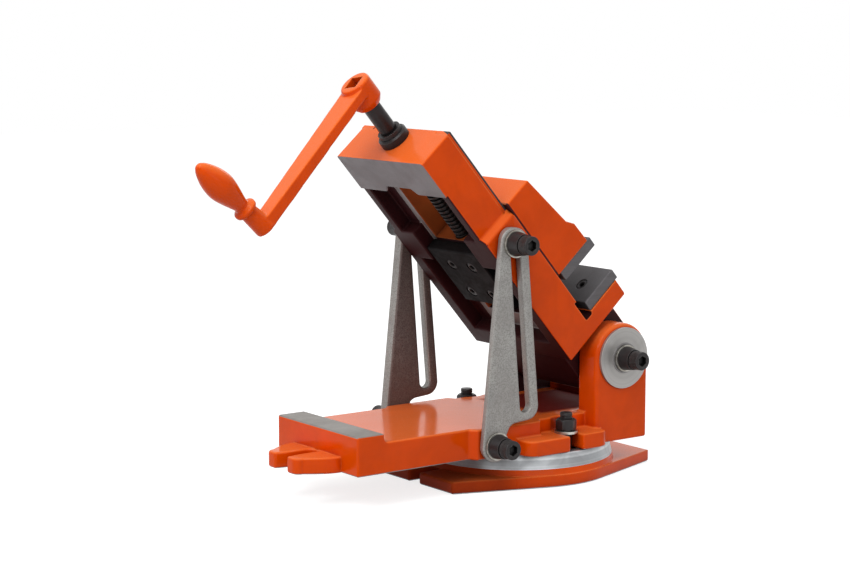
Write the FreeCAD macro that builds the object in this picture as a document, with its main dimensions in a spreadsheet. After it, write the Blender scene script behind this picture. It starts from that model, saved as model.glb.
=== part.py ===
import FreeCAD, Part
import math
import os
import re
import Sketcher
from FreeCAD import Vector

# Tilting and swivelling machine vise, 160 mm jaws, sizes in millimetres.
# World frame: +X from the crank end to the hinge end, +Y to the far side, +Z up, origin on the
# swivel axis at the underside of the base.
# Vise frame: the vise lying flat, origin on the tilt pivot, +X to the hinge end; TILTED turns it.

SIZES = {
    # Fits
    "face_gap": 0.2,
    "running_gap": 0.09,
    "turn_gap": 0.1,
    "seat_gap": 0.08,
    # Swivel base
    "base_length": 265.0,
    "base_end_half": 66.0,
    "base_radius": 106.0,
    "flange_height": 13.0,
    "table_slot_width": 16.0,
    "table_slot_reach": 26.0,
    "step_height": 19.0,
    "neck_inset": 3.0,
    "neck_taper": 4.0,
    "turntable_height": 34.4,
    "centre_pin_radius": 15.0,
    "centre_pin_head_radius": 20.0,
    "centre_pin_head": 5.0,
    "centre_pin_depth": 20.0,
    # Circular tee slot and its bolts
    "tee_rim": 22.0,
    "tee_slot_width": 13.0,
    "tee_cavity_width": 24.0,
    "tee_cavity_height": 10.4,
    "tee_lip": 9.0,
    "tee_head_size": 21.0,
    "tee_head_height": 8.5,
    "tee_stud_end": 72.0,
    "clamp_nut_flats": 19.0,
    "clamp_nut_height": 10.5,
    "clamp_washer_radius": 12.0,
    # Platform casting
    "platform_front": 251.2,
    "platform_half": 71.75,
    "boss_front": 111.0,
    "boss_rear": 30.0,
    "boss_ramp": 5.0,
    "deck_height": 31.3,
    "rest_rise": 8.3,
    "rest_length": 31.9,
    "rest_fillet": 5.0,
    "lug_height": 16.3,
    "side_lug_front": 62.0,
    "side_lug_rear": 43.0,
    "side_lug_rim": 18.5,
    "side_lug_corner": 10.0,
    "side_lug_slot": 17.0,
    "nut_pocket_radius": 16.0,
    "front_lug_length": 42.0,
    "front_lug_slot": 15.0,
    "front_lug_slot_root": 8.0,
    "front_lug_half": 26.0,
    "front_lug_root_half": 43.0,
    "front_lug_corner": 8.0,
    "pocket_wall": 12.0,
    "pocket_depth": 20.0,
    "pocket_rib": 8.0,
    # Hinge at the rear
    "pivot_x": 72.5,
    "body_drop": 48.0,
    "ear_radius": 36.0,
    "ear_inner": 60.0,
    "ear_outer": 88.7,
    "ear_bevel": 3.0,
    "tilt_shaft_radius": 14.0,
    "knuckle_radius": 41.0,
    "pivot_disc_radius": 32.0,
    "pivot_disc_thickness": 3.0,
    "pivot_disc_boss_radius": 16.0,
    "pivot_disc_boss": 0.8,
    # Shouldered bolts of the hinge and the struts
    "bolt_radius": 6.0,
    "bolt_grip": 28.0,
    "bolt_head_radius": 9.6,
    "bolt_head_height": 12.0,
    "bolt_socket": 10.0,
    "bolt_socket_depth": 6.0,
    "bolt_washer_radius": 14.0,
    "bolt_washer_thickness": 2.5,
    "bolt_collar_radius": 12.5,
    "bolt_collar_top_radius": 10.6,
    "bolt_collar_length": 12.5,
    # Tilt struts
    "tilt_angle": 48.76,
    "foot_behind": 168.2,
    "foot_below": 72.8,
    "strut_thickness": 10.0,
    "strut_slot_offset": 40.0,
    "strut_slot_width": 12.6,
    "strut_slot_foot": 33.0,
    "strut_slot_spare": 0.5,
    "strut_bar": 11.0,
    "strut_foot_radius": 16.8,
    "strut_head_left": 20.5,
    "strut_waist": 12.5,
    "strut_waist_height": 24.0,
    "strut_web_foot": 9.0,
    "strut_crook": 14.0,
    # Vise body, measured from the tilt pivot along and above the ways
    "body_front": 322.9,
    "body_rear": 42.0,
    "body_half": 73.5,
    "jaw_overhang": 6.5,
    "strut_pad_front": 211.0,
    "strut_pad_ramp": 6.0,
    "way_top": 1.6,
    "pad_relief": 2.0,
    "way_depth": 30.0,
    "slot_half": 36.5,
    "slot_front": 283.0,
    "slot_rear": 86.0,
    "cavity_half": 62.0,
    "cavity_front": 277.0,
    "cavity_rear": 66.0,
    "cavity_notch_half": 23.0,
    "cavity_notch": 7.0,
    "strut_boss_inner": 42.0,
    "strut_boss_half_length": 20.0,
    "lock_along": 193.4,
    "lock_below": 24.6,
    "lock_hole_depth": 28.0,
    "block_front": 62.4,
    "block_top": 51.5,
    "relief_front": 84.5,
    "relief_floor": 4.8,
    "relief_back": 59.4,
    "relief_top": 6.0,
    "relief_round": 2.5,
    "strip_width": 20.0,
    "strip_thickness": 4.4,
    "body_round": 2.0,
    # Jaw plates
    "plate_thickness": 12.0,
    "plate_inset": 1.0,
    "fixed_plate_bottom": 6.7,
    "fixed_plate_top": 55.4,
    "moving_plate_bottom": 3.9,
    "moving_plate_top": 55.4,
    "plate_screw_spread": 53.0,
    "plate_screw_up": 29.8,
    "plate_chamfer": 0.8,
    "plate_screw_radius": 4.0,
    "plate_screw_length": 24.0,
    "plate_screw_head_radius": 6.5,
    "plate_screw_head_height": 8.0,
    "plate_screw_socket": 6.0,
    "counterbore_gap": 0.5,
    # Movable jaw
    "jaw_front": 223.9,
    "jaw_front_top": 33.9,
    "jaw_slope_rear": 156.6,
    "jaw_slope_top": 43.3,
    "jaw_step_rear": 147.0,
    "jaw_step_top": 49.6,
    "jaw_rear": 122.0,
    "jaw_rear_top": 50.7,
    "tongue_front": 193.0,
    "tongue_rear": 123.0,
    "nut_front": 161.0,
    "nut_length": 26.0,
    "nut_half": 22.0,
    "nut_top": 4.0,
    "keeper_front": 190.0,
    "keeper_rear": 112.0,
    "keeper_half": 41.0,
    "keeper_thickness": 13.7,
    "keeper_screw_front": 168.0,
    "keeper_screw_rear": 128.0,
    "keeper_screw_spread": 17.0,
    "keeper_screw_length": 20.0,
    # Lead screw, its collars and the crank
    "screw_below": 18.5,
    "screw_radius": 9.0,
    "screw_square": 13.6,
    "screw_journal_radius": 7.0,
    "screw_journal_depth": 18.0,
    "thrust_radius": 15.5,
    "thrust_length": 9.0,
    "thrust_chamfer": 1.5,
    "thrust_step_radius": 12.5,
    "thrust_step": 4.5,
    "inner_thrust_radius": 14.0,
    "inner_thrust_length": 8.0,
    "hub_inner": 370.0,
    "hub_length": 30.0,
    "hub_radius": 16.0,
    "hub_nose_radius": 12.5,
    "hub_nose": 5.0,
    "hub_recess": 4.0,
    "arm_length": 187.5,
    "arm_width": 30.0,
    "arm_tip_width": 19.0,
    "arm_thickness": 12.5,
    "arm_hub_thickness": 9.5,
    "arm_bevel": 1.2,
    "crank_angle": 12.4,
    "grip_splay": 9.0,
    "grip_boss_radius": 10.5,
    "grip_boss_top_radius": 8.8,
    "grip_boss_length": 26.3,
    "grip_bead_radius": 12.0,
    "grip_bead_length": 5.0,
    "grip_neck_radius": 7.2,
    "grip_neck": 7.0,
    "grip_belly_radius": 14.0,
    "grip_belly": 37.0,
    "grip_nose_radius": 5.0,
    "grip_nose": 67.0,
    "grip_end": 70.5,
    "grip_tip_radius": 1.5,
    "grip_bore_radius": 4.1,
    "grip_bore_depth": 58.0,
    "spindle_radius": 4.0,
}

# Sizes and places that follow from the driving dimensions.
DERIVED = {
    "neck_radius": "base_radius - neck_inset",
    "neck_top_radius": "neck_radius - neck_taper",
    "tee_circle": "base_radius - tee_rim",
    "side_lug_half": "tee_circle + side_lug_rim",
    "jaw_half": "body_half + jaw_overhang",
    "boss_half": "jaw_half",
    "plate_half": "jaw_half - plate_inset",
    "platform_floor": "turntable_height + turn_gap",
    "deck_top": "platform_floor + deck_height",
    "rest_top": "deck_top + rest_rise",
    "lug_top": "platform_floor + lug_height",
    "pivot_z": "rest_top + body_drop + face_gap",
    "tee_ceiling": "turntable_height - tee_lip",
    "tee_floor": "tee_ceiling - tee_cavity_height",
    "strut_inner": "jaw_half + face_gap",
    "strut_outer": "strut_inner + strut_thickness",
    "foot_x": "pivot_x - foot_behind",
    "foot_z": "pivot_z - foot_below",
    "lock_x": "foot_behind - lock_along * cos(tilt_angle) - lock_below * sin(tilt_angle)",
    "lock_z": "foot_below + lock_along * sin(tilt_angle) - lock_below * cos(tilt_angle)",
    "lock_reach": "hypot(lock_x; lock_z)",
    "strut_lean": "atan2(lock_x; lock_z) - asin(strut_slot_offset / lock_reach)",
    "lock_travel": "sqrt(lock_reach ^ 2 - strut_slot_offset ^ 2)",
    "jaw_width": "2 * jaw_half",
    "body_floor": "body_drop",
    "strip_floor": "way_top + strip_thickness",
    "jaw_floor": "way_top - face_gap / 2",
    "keeper_top": "way_depth + face_gap",
    "tongue_half": "slot_half - face_gap",
    "shaft_length": "2 * ear_outer - 2 * face_gap",
    "knuckle_width": "2 * ear_inner - 2 * face_gap",
    "bolt_seat": "bolt_washer_thickness",
    "bolt_head_seat": "bolt_washer_thickness + bolt_collar_length",
    "arm_z": "hub_length - hub_recess - arm_thickness",
    "boss_z": "arm_z + arm_bevel + 0.8",
}

WORLD = "rotation(vector(0; 0; 1); 0)"
PIVOT = "vector(pivot_x; 0; pivot_z)"
TILTED = "rotation(vector(0; 1; 0); tilt_angle)"
ALONG_REAR = "rotation(vector(0; 1; 0); 90)"
ALONG_FRONT = "rotation(vector(0; 1; 0); -90)"
NEAR_SIDE = "rotation(vector(1; 0; 0); 90)"
DOWN = "rotation(vector(1; 0; 0); 180)"

HALF_CIRCLE = "half circle"
NAME = re.compile(r"[A-Za-z_][A-Za-z_0-9]*")

doc = FreeCAD.newDocument("machine_vise")
sheet = doc.addObject("Spreadsheet::Sheet", "dims")
nodes = []


def fill_sheet():
    """Write every driving dimension to the sheet under its own alias."""
    for row, (name, size) in enumerate(SIZES.items(), start=1):
        sheet.set(f"A{row}", name)
        sheet.set(f"B{row}", str(size))
        sheet.setAlias(f"B{row}", name)
    doc.recompute()


def formula(text):
    """The text with each size as its sheet cell and each derived name worked out."""
    def swap(match):
        name = match.group(0)
        if name in DERIVED:
            return f"({formula(DERIVED[name])})"
        return f"dims.{name}" if name in SIZES else name
    return NAME.sub(swap, text)


def value(text):
    """The number that a formula gives now."""
    result = sheet.evalExpression(formula(text))
    return float(getattr(result, "Value", result))


def bind(item, prop, text):
    item.setExpression(prop, formula(text))


def place(item, base, turn=WORLD):
    bind(item, "Placement", f"placement({base}; {turn})")


def place_on_vise(item, x="0", y="0", z="0", turn=WORLD):
    """Place an object given in the vise frame where the tilted vise holds it."""
    place(item, f"{PIVOT} + {TILTED} * vector({x}; {y}; {z})", f"{TILTED} * {turn}")


def keep(item, name):
    """Name a finished sub-part; its label is also its file's name."""
    item.Label = name
    nodes.append(item)
    return item


def new_body(name):
    return doc.addObject("PartDesign::Body", name)


def new_sketch(body, role, offset=None):
    """A sketch on one of the body's own planes, moved along the plane's normal by offset."""
    sketch = body.newObject("Sketcher::SketchObject", f"{body.Name}_sketch")
    plane = next(item for item in body.Origin.OriginFeatures if item.Role == role)
    sketch.AttachmentSupport = [(plane, "")]
    sketch.MapMode = "FlatFace"
    if offset is not None:
        bind(sketch, "AttachmentOffset.Base.z", offset)
    return sketch


def pin_point(sketch, edge, end, x, y):
    """Hold one end of an edge at the coordinates that two formulas give."""
    for kind, text in (("DistanceX", x), ("DistanceY", y)):
        index = sketch.addConstraint(Sketcher.Constraint(kind, -1, 1, edge, end, value(text)))
        bind(sketch, f"Constraints[{index}]", text)


def split_half_circles(corners):
    """The corners with each half circle as two quarter arcs."""
    result = []
    for corner, following in zip(corners, corners[1:] + corners[:1]):
        if len(corner) == 2 or corner[2] != HALF_CIRCLE:
            result.append(corner)
            continue
        (x, y, _, turn), (far_x, far_y) = corner, following[:2]
        sign, other = ("+", "-") if turn > 0 else ("-", "+")
        radius = f"hypot(({far_x}) - ({x}); ({far_y}) - ({y})) / 2"
        middle_x = f"((({x}) + ({far_x})) {sign} (({far_y}) - ({y}))) / 2"
        middle_y = f"((({y}) + ({far_y})) {other} (({far_x}) - ({x}))) / 2"
        result += [(x, y, radius, turn), (middle_x, middle_y, radius, turn)]
    return result


def outline(sketch, corners):
    """Close an outline through corners.

    A corner is (x, y), or (x, y, radius, turn) where the edge that leaves it is an arc: turn is
    +1 for an arc that curves to the left and -1 for one that curves to the right, and a radius of
    HALF_CIRCLE spans the two corners with a half circle.
    """
    corners = split_half_circles(corners)
    ends = []
    for corner, following in zip(corners, corners[1:] + corners[:1]):
        start = Vector(value(corner[0]), value(corner[1]), 0)
        stop = Vector(value(following[0]), value(following[1]), 0)
        if len(corner) == 2:
            edge = sketch.addGeometry(Part.LineSegment(start, stop))
            ends.append((edge, 1, 2))
            continue
        radius, turn = value(corner[2]), corner[3]
        chord = stop - start
        rise = math.sqrt(max(radius ** 2 - (chord.Length / 2) ** 2, 0))
        across = Vector(-chord.y, chord.x, 0).normalize()
        centre = (start + stop) * 0.5 + across * rise * turn
        first, last = (start, stop) if turn > 0 else (stop, start)
        angles = [math.atan2(point.y - centre.y, point.x - centre.x) for point in (first, last)]
        circle = Part.Circle(centre, Vector(0, 0, 1), radius)
        edge = sketch.addGeometry(Part.ArcOfCircle(circle, *angles))
        ends.append((edge, 1, 2) if turn > 0 else (edge, 2, 1))
        index = sketch.addConstraint(Sketcher.Constraint("Radius", edge, radius))
        bind(sketch, f"Constraints[{index}]", corner[2])
    for corner, current, previous in zip(corners, ends, ends[-1:] + ends[:-1]):
        sketch.addConstraint(Sketcher.Constraint("Coincident", previous[0], previous[2], *current[:2]))
        pin_point(sketch, current[0], current[1], corner[0], corner[1])


def box_outline(sketch, left, bottom, right, top):
    outline(sketch, [(left, bottom), (right, bottom), (right, top), (left, top)])


def circle_outline(sketch, x, y, radius):
    centre = Vector(value(x), value(y), 0)
    edge = sketch.addGeometry(Part.Circle(centre, Vector(0, 0, 1), value(radius)))
    pin_point(sketch, edge, 3, x, y)
    index = sketch.addConstraint(Sketcher.Constraint("Radius", edge, value(radius)))
    bind(sketch, f"Constraints[{index}]", radius)


def mirrored_outline(sketch, half):
    """An outline from its half on the +Y side, which starts and ends off the X axis."""
    other = []
    for index in range(len(half) - 1, -1, -1):
        x, y = half[index][:2]
        arc = half[index - 1][2:] if index > 0 else ()
        other.append((x, f"-({y})", *arc))
    outline(sketch, list(half) + other)


def extrude(body, sketch, kind, length, symmetric=False, reverse=False):
    """Add or cut the sketch's shape by a length."""
    feature = body.newObject(f"PartDesign::{kind}", f"{body.Name}_{kind}")
    feature.Profile = sketch
    bind(feature, "Length", length)
    if symmetric:
        feature.SideType = "Symmetric"
    feature.Reversed = reverse
    sketch.Visibility = False
    doc.recompute()
    return feature


def pad(body, sketch, length, **options):
    return extrude(body, sketch, "Pad", length, **options)


def pocket(body, sketch, length, **options):
    """Cut the sketch's shape, and stop if it takes nothing away."""
    before = body.Shape.Volume
    feature = extrude(body, sketch, "Pocket", length, **options)
    if body.Shape.Volume > before - 1:
        raise ValueError(f"{feature.Name} cuts nothing")
    return feature


def spin(body, profile, kind="Revolution"):
    """Turn a half section, given as (radius, height) corners, about the body's Z axis."""
    sketch = new_sketch(body, "XZ_Plane")
    outline(sketch, profile)
    feature = body.newObject(f"PartDesign::{kind}", f"{body.Name}_{kind}")
    feature.Profile = sketch
    feature.ReferenceAxis = (sketch, ["V_Axis"])
    feature.Angle = 360
    doc.recompute()
    return feature


def turned(name, profile):
    body = new_body(name)
    spin(body, profile)
    return body


def dress(body, kind, size_name, size, chosen):
    """Round or chamfer the edges of the body that a test chooses."""
    edges = enumerate(body.Shape.Edges, start=1)
    names = [f"Edge{number}" for number, edge in edges if chosen(edge)]
    if not names:
        raise ValueError(f"{body.Name} has no such edge to dress")
    dressed = body.Tip
    feature = body.newObject(f"PartDesign::{kind}", f"{body.Name}_{kind}")
    feature.Base = (dressed, names)
    bind(feature, size_name, size)
    doc.recompute()
    if not feature.isValid():
        raise ValueError(f"{feature.Name} failed on {len(names)} edges")
    return feature


def near(number, text, tolerance=0.01):
    return abs(number - value(text)) < tolerance


def straight_along(edge, axis):
    """Whether an edge is a straight line along one axis of its body."""
    if edge.Curve.TypeId != "Part::GeomLine":
        return False
    direction = edge.Curve.Direction
    return abs(abs(getattr(direction, axis)) - 1) < 1e-6


def pair(name, item):
    """One sub-part of two like pieces, an item and its mirror image across the XZ plane."""
    mirror = doc.addObject("Part::Mirroring", f"{name}_mirror")
    mirror.Source = item
    mirror.Normal = Vector(0, 1, 0)
    both = doc.addObject("Part::Compound", name)
    both.Links = [item, mirror]
    return keep(both, name)


def hexagon(sketch, flats, x="0", y="0"):
    """A hexagon of a given width across its flats."""
    corners = []
    for number in range(6):
        turn = 60 * number
        corners.append((f"{x} + {flats} / sqrt(3) * cos({turn})", f"{y} + {flats} / sqrt(3) * sin({turn})"))
    outline(sketch, corners)


def socket_screw(name, radius, length, head_radius, head_height, socket, socket_depth):
    """A socket screw whose head sits on height 0, with its shank below."""
    screw = turned(name, [
        ("0", f"-({length})"),
        (radius, f"-({length})"),
        (radius, "0"),
        (head_radius, "0"),
        (head_radius, head_height),
        ("0", head_height),
    ])
    recess = new_sketch(screw, "XY_Plane", head_height)
    hexagon(recess, socket)
    pocket(screw, recess, socket_depth)
    return screw


def ring(name, inner, outer, height, top_outer=None):
    """A washer or collar that stands on height 0, tapered where its top is given."""
    return turned(name, [(inner, "0"), (outer, "0"), (top_outer or outer, height), (inner, height)])


def swivel_base():
    """Flange with two open slots for the machine table, and the neck with its circular tee slot."""
    base = new_body("swivel_base")
    half = "base_length / 2"
    tangent = f"(atan2(base_end_half; {half}) + acos(base_radius / hypot({half}; base_end_half)))"
    tangent_x = f"base_radius * cos({tangent})"
    tangent_y = f"base_radius * sin({tangent})"
    plan = new_sketch(base, "XY_Plane")
    mirrored_outline(plan, [
        (half, "base_end_half"),
        (tangent_x, tangent_y, "base_radius", 1),
        (f"-{tangent_x}", tangent_y),
        (f"-{half}", "base_end_half"),
    ])
    pad(base, plan, "flange_height")
    spin(base, [
        ("0", "flange_height - 1"),
        ("base_radius - 1", "flange_height - 1"),
        ("base_radius - 1", "flange_height"),
        ("neck_radius", "step_height"),
        ("neck_top_radius", "turntable_height"),
        ("0", "turntable_height"),
    ])
    spin(base, [
        ("tee_circle - tee_slot_width / 2", "turntable_height + 1"),
        ("tee_circle - tee_slot_width / 2", "tee_ceiling"),
        ("tee_circle - tee_cavity_width / 2", "tee_ceiling"),
        ("tee_circle - tee_cavity_width / 2", "tee_floor"),
        ("tee_circle + tee_cavity_width / 2", "tee_floor"),
        ("tee_circle + tee_cavity_width / 2", "tee_ceiling"),
        ("tee_circle + tee_slot_width / 2", "tee_ceiling"),
        ("tee_circle + tee_slot_width / 2", "turntable_height + 1"),
    ], kind="Groove")
    entry = new_sketch(base, "XY_Plane", "turntable_height")
    circle_outline(entry, "-tee_circle", "0", "tee_cavity_width / 2")
    pocket(base, entry, "turntable_height - tee_floor")
    slots = new_sketch(base, "XY_Plane", "flange_height")
    for side, turn in (("", 1), ("-", -1)):
        reach = f"{side}({half} - table_slot_reach)"
        mouth = f"{side}({half} + 1)"
        across = "table_slot_width / 2"
        outline(slots, [
            (mouth, across),
            (reach, across, HALF_CIRCLE, turn),
            (reach, f"-{across}"),
            (mouth, f"-{across}"),
        ])
    pocket(base, slots, "flange_height")
    bore = new_sketch(base, "XY_Plane")
    circle_outline(bore, "0", "0", "centre_pin_radius + seat_gap")
    pocket(base, bore, "turntable_height", reverse=True)
    recess = new_sketch(base, "XY_Plane")
    circle_outline(recess, "0", "0", "centre_pin_head_radius + face_gap")
    pocket(base, recess, "centre_pin_head + face_gap", reverse=True)
    return keep(base, "swivel_base")


def centre_pin():
    """Headed pin that the platform turns on."""
    pin = turned("centre_pin", [
        ("0", "face_gap"),
        ("centre_pin_head_radius", "face_gap"),
        ("centre_pin_head_radius", "centre_pin_head"),
        ("centre_pin_radius", "centre_pin_head"),
        ("centre_pin_radius", "platform_floor + centre_pin_depth - 2"),
        ("centre_pin_radius - 2", "platform_floor + centre_pin_depth"),
        ("0", "platform_floor + centre_pin_depth"),
    ])
    return keep(pin, "centre_pin")


def platform_plan(casting):
    """Deck, with the wider boss that carries the struts and the full width of the ears."""
    deck = new_sketch(casting, "XY_Plane", "platform_floor")
    mirrored_outline(deck, [
        ("pivot_x + ear_radius", "ear_outer"),
        ("pivot_x - ear_radius", "ear_outer"),
        ("pivot_x - ear_radius", "platform_half"),
        ("-boss_rear + boss_ramp", "platform_half"),
        ("-boss_rear", "boss_half"),
        ("-boss_front", "boss_half"),
        ("-boss_front - boss_ramp", "platform_half"),
        ("-platform_front", "platform_half"),
    ])
    pad(casting, deck, "deck_height")
    rest = new_sketch(casting, "XZ_Plane")
    outline(rest, [
        ("-platform_front", "deck_top - 1"),
        ("-platform_front + rest_length + rest_fillet", "deck_top - 1"),
        ("-platform_front + rest_length + rest_fillet", "deck_top", "rest_fillet", -1),
        ("-platform_front + rest_length", "deck_top + rest_fillet"),
        ("-platform_front + rest_length", "rest_top"),
        ("-platform_front", "rest_top"),
    ])
    pad(casting, rest, "2 * platform_half", symmetric=True)


def platform_lugs(casting):
    """Slotted lugs: one in front for a table bolt, one each side for the tee bolts."""
    side = new_sketch(casting, "XY_Plane", "platform_floor")
    for sign, turn in (("", 1), ("-", -1)):
        inner = f"{sign}(platform_half - 5)"
        outer = f"{sign}side_lug_half"
        shoulder = f"{sign}(side_lug_half - side_lug_corner)"
        outline(side, [
            ("side_lug_rear", inner),
            ("side_lug_rear", shoulder, "side_lug_corner", turn),
            ("side_lug_rear - side_lug_corner", outer),
            ("-side_lug_front + side_lug_corner", outer, "side_lug_corner", turn),
            ("-side_lug_front", shoulder),
            ("-side_lug_front", inner),
        ])
    pad(casting, side, "lug_height")
    front = new_sketch(casting, "XY_Plane", "platform_floor")
    tip = "-(platform_front + front_lug_length)"
    face = "-(platform_front - 1)"
    root = "-(platform_front + front_lug_slot_root)"
    sweep = "(front_lug_root_half - front_lug_half)"
    mirrored_outline(front, [
        (face, "front_lug_root_half"),
        ("-platform_front", "front_lug_root_half", sweep, -1),
        (f"-platform_front - {sweep}", "front_lug_half"),
        (f"{tip} + front_lug_corner", "front_lug_half", "front_lug_corner", 1),
        (tip, "front_lug_half - front_lug_corner"),
        (tip, "front_lug_slot / 2"),
        (root, "front_lug_slot / 2", HALF_CIRCLE, -1),
    ])
    pad(casting, front, "lug_height")


def platform_cuts(casting):
    """Slots and seats for the tee bolts, the pin's bore, the strut holes and the ribbed underside."""
    slots = new_sketch(casting, "XY_Plane", "lug_top + 1")
    seats = new_sketch(casting, "XY_Plane", "deck_top + 1")
    for sign, turn in (("", -1), ("-", 1)):
        across = "side_lug_slot / 2"
        outline(slots, [
            (across, f"{sign}(side_lug_half + 1)"),
            (across, f"{sign}tee_circle", HALF_CIRCLE, turn),
            (f"-{across}", f"{sign}tee_circle"),
            (f"-{across}", f"{sign}(side_lug_half + 1)"),
        ])
        circle_outline(seats, "0", f"{sign}tee_circle", "nut_pocket_radius")
    pocket(casting, slots, "lug_height + 1")
    pocket(casting, seats, "deck_top + 1 - lug_top")
    bore = new_sketch(casting, "XY_Plane", "platform_floor")
    circle_outline(bore, "0", "0", "centre_pin_radius + running_gap")
    pocket(casting, bore, "centre_pin_depth + face_gap", reverse=True)
    hollow = new_sketch(casting, "XY_Plane", "platform_floor")
    front = "-(platform_front - pocket_wall)"
    rear = "-(neck_radius + pocket_wall)"
    middle = f"(({front}) + ({rear})) / 2"
    for left, right in ((front, f"{middle} - pocket_rib / 2"), (f"{middle} + pocket_rib / 2", rear)):
        box_outline(hollow, left, "pocket_rib / 2", right, "platform_half - pocket_wall")
        box_outline(hollow, left, "-(platform_half - pocket_wall)", right, "-pocket_rib / 2")
    pocket(casting, hollow, "pocket_depth", reverse=True)
    for side, reverse in (("boss_half", False), ("-boss_half", True)):
        hole = new_sketch(casting, "XZ_Plane", side)
        circle_outline(hole, "foot_x", "foot_z", "bolt_radius + seat_gap")
        pocket(casting, hole, "bolt_grip", reverse=reverse)


def platform_ears(casting):
    """Two round-topped ears for the hinge, bored for the tilt shaft."""
    ears = new_sketch(casting, "XZ_Plane")
    outline(ears, [
        ("pivot_x - ear_radius", "platform_floor"),
        ("pivot_x + ear_radius", "platform_floor"),
        ("pivot_x + ear_radius", "pivot_z", HALF_CIRCLE, 1),
        ("pivot_x - ear_radius", "pivot_z"),
    ])
    pad(casting, ears, "2 * ear_outer", symmetric=True)
    gap = new_sketch(casting, "XZ_Plane")
    box_outline(gap, "pivot_x - ear_radius - 1", "deck_top", "pivot_x + ear_radius + 1",
                "pivot_z + ear_radius + 1")
    pocket(casting, gap, "2 * ear_inner", symmetric=True)
    bore = new_sketch(casting, "XZ_Plane")
    circle_outline(bore, "pivot_x", "pivot_z", "tilt_shaft_radius + seat_gap")
    pocket(casting, bore, "2 * ear_outer + 2", symmetric=True)


def platform_rounds(casting):
    """Bevel on the outer rims of the ears."""
    def ear_rim(edge):
        box = edge.BoundBox
        outer = near(abs(box.YMin), "ear_outer") and near(abs(box.YMax), "ear_outer")
        flat = abs(box.YMax - box.YMin) < 0.01
        return outer and flat and box.ZMax > value("pivot_z + 1") and box.XLength > value("ear_radius / 2")
    dress(casting, "Chamfer", "Size", "ear_bevel", ear_rim)


def platform_casting():
    casting = new_body("platform_casting")
    platform_plan(casting)
    platform_ears(casting)
    platform_lugs(casting)
    platform_cuts(casting)
    platform_rounds(casting)
    return keep(casting, "platform_casting")


def tee_clamps():
    """Tee bolts that hold the platform to the base, with their washers and nuts."""
    bolt = new_body("tee_bolt")
    head = new_sketch(bolt, "XY_Plane", "tee_ceiling - face_gap - tee_head_height")
    box_outline(head, "-tee_head_size / 2", "-tee_head_size / 2", "tee_head_size / 2", "tee_head_size / 2")
    pad(bolt, head, "tee_head_height")
    shank = new_sketch(bolt, "XY_Plane", "tee_ceiling - face_gap - 1")
    circle_outline(shank, "0", "0", "bolt_radius")
    pad(bolt, shank, "tee_stud_end - tee_ceiling + face_gap + 1")
    place(bolt, "vector(0; -tee_circle; 0)")
    pair("tee_bolts", bolt)
    washer = ring("tee_washer", "bolt_radius + running_gap", "clamp_washer_radius", "bolt_washer_thickness")
    place(washer, "vector(0; -tee_circle; lug_top)")
    pair("tee_washers", washer)
    nut = new_body("tee_nut")
    shape = new_sketch(nut, "XY_Plane")
    hexagon(shape, "clamp_nut_flats")
    pad(nut, shape, "clamp_nut_height")
    corners = "clamp_nut_flats / sqrt(3)"
    spin(nut, [
        ("clamp_nut_flats / 2", "clamp_nut_height + 1"),
        ("clamp_nut_flats / 2", "clamp_nut_height"),
        (f"{corners} + 1", f"clamp_nut_height - ({corners} + 1 - clamp_nut_flats / 2) / 1.7"),
        (f"{corners} + 1", "clamp_nut_height + 1"),
    ], kind="Groove")
    hole = new_sketch(nut, "XY_Plane", "clamp_nut_height")
    circle_outline(hole, "0", "0", "bolt_radius + seat_gap")
    pocket(nut, hole, "clamp_nut_height")
    place(nut, "vector(0; -tee_circle; lug_top + bolt_washer_thickness)")
    pair("tee_nuts", nut)


def shouldered_bolt(name, grip):
    """Washer, tapered collar and socket bolt of one joint, standing on height 0 of their seat."""
    hole = "bolt_radius + running_gap"
    washer = ring(f"{name}_washer", hole, "bolt_washer_radius", "bolt_washer_thickness")
    collar = ring(f"{name}_collar", hole, "bolt_collar_radius", "bolt_collar_length",
                  top_outer="bolt_collar_top_radius")
    screw = socket_screw(f"{name}_bolt", "bolt_radius", f"{grip} + bolt_head_seat", "bolt_head_radius",
                         "bolt_head_height", "bolt_socket", "bolt_socket_depth")
    return (washer, "0"), (collar, "bolt_seat"), (screw, "bolt_head_seat")


def hinge():
    """Through shaft of the tilt pivot, clamped at both ends by a bolt over a large disc."""
    shaft = turned("tilt_shaft", [
        ("bolt_radius + seat_gap", "-shaft_length / 2"),
        ("tilt_shaft_radius - 1", "-shaft_length / 2"),
        ("tilt_shaft_radius", "-shaft_length / 2 + 1"),
        ("tilt_shaft_radius", "shaft_length / 2 - 1"),
        ("tilt_shaft_radius - 1", "shaft_length / 2"),
        ("bolt_radius + seat_gap", "shaft_length / 2"),
    ])
    place(shaft, PIVOT, NEAR_SIDE)
    keep(shaft, "tilt_shaft")
    disc = turned("pivot_disc", [
        ("bolt_radius + running_gap", "0"),
        ("pivot_disc_radius", "0"),
        ("pivot_disc_radius", "pivot_disc_thickness"),
        ("pivot_disc_boss_radius", "pivot_disc_thickness"),
        ("pivot_disc_boss_radius", "pivot_disc_thickness + pivot_disc_boss"),
        ("bolt_radius + running_gap", "pivot_disc_thickness + pivot_disc_boss"),
    ])
    place(disc, f"{PIVOT} - vector(0; ear_outer; 0)", NEAR_SIDE)
    pair("pivot_discs", disc)
    seat = "ear_outer + pivot_disc_thickness + pivot_disc_boss"
    names = ("pivot_washers", "pivot_collars", "pivot_bolts")
    for (item, rise), name in zip(shouldered_bolt("pivot", "bolt_grip"), names):
        place(item, f"{PIVOT} - vector(0; {seat} + {rise}; 0)", NEAR_SIDE)
        pair(name, item)


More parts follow.
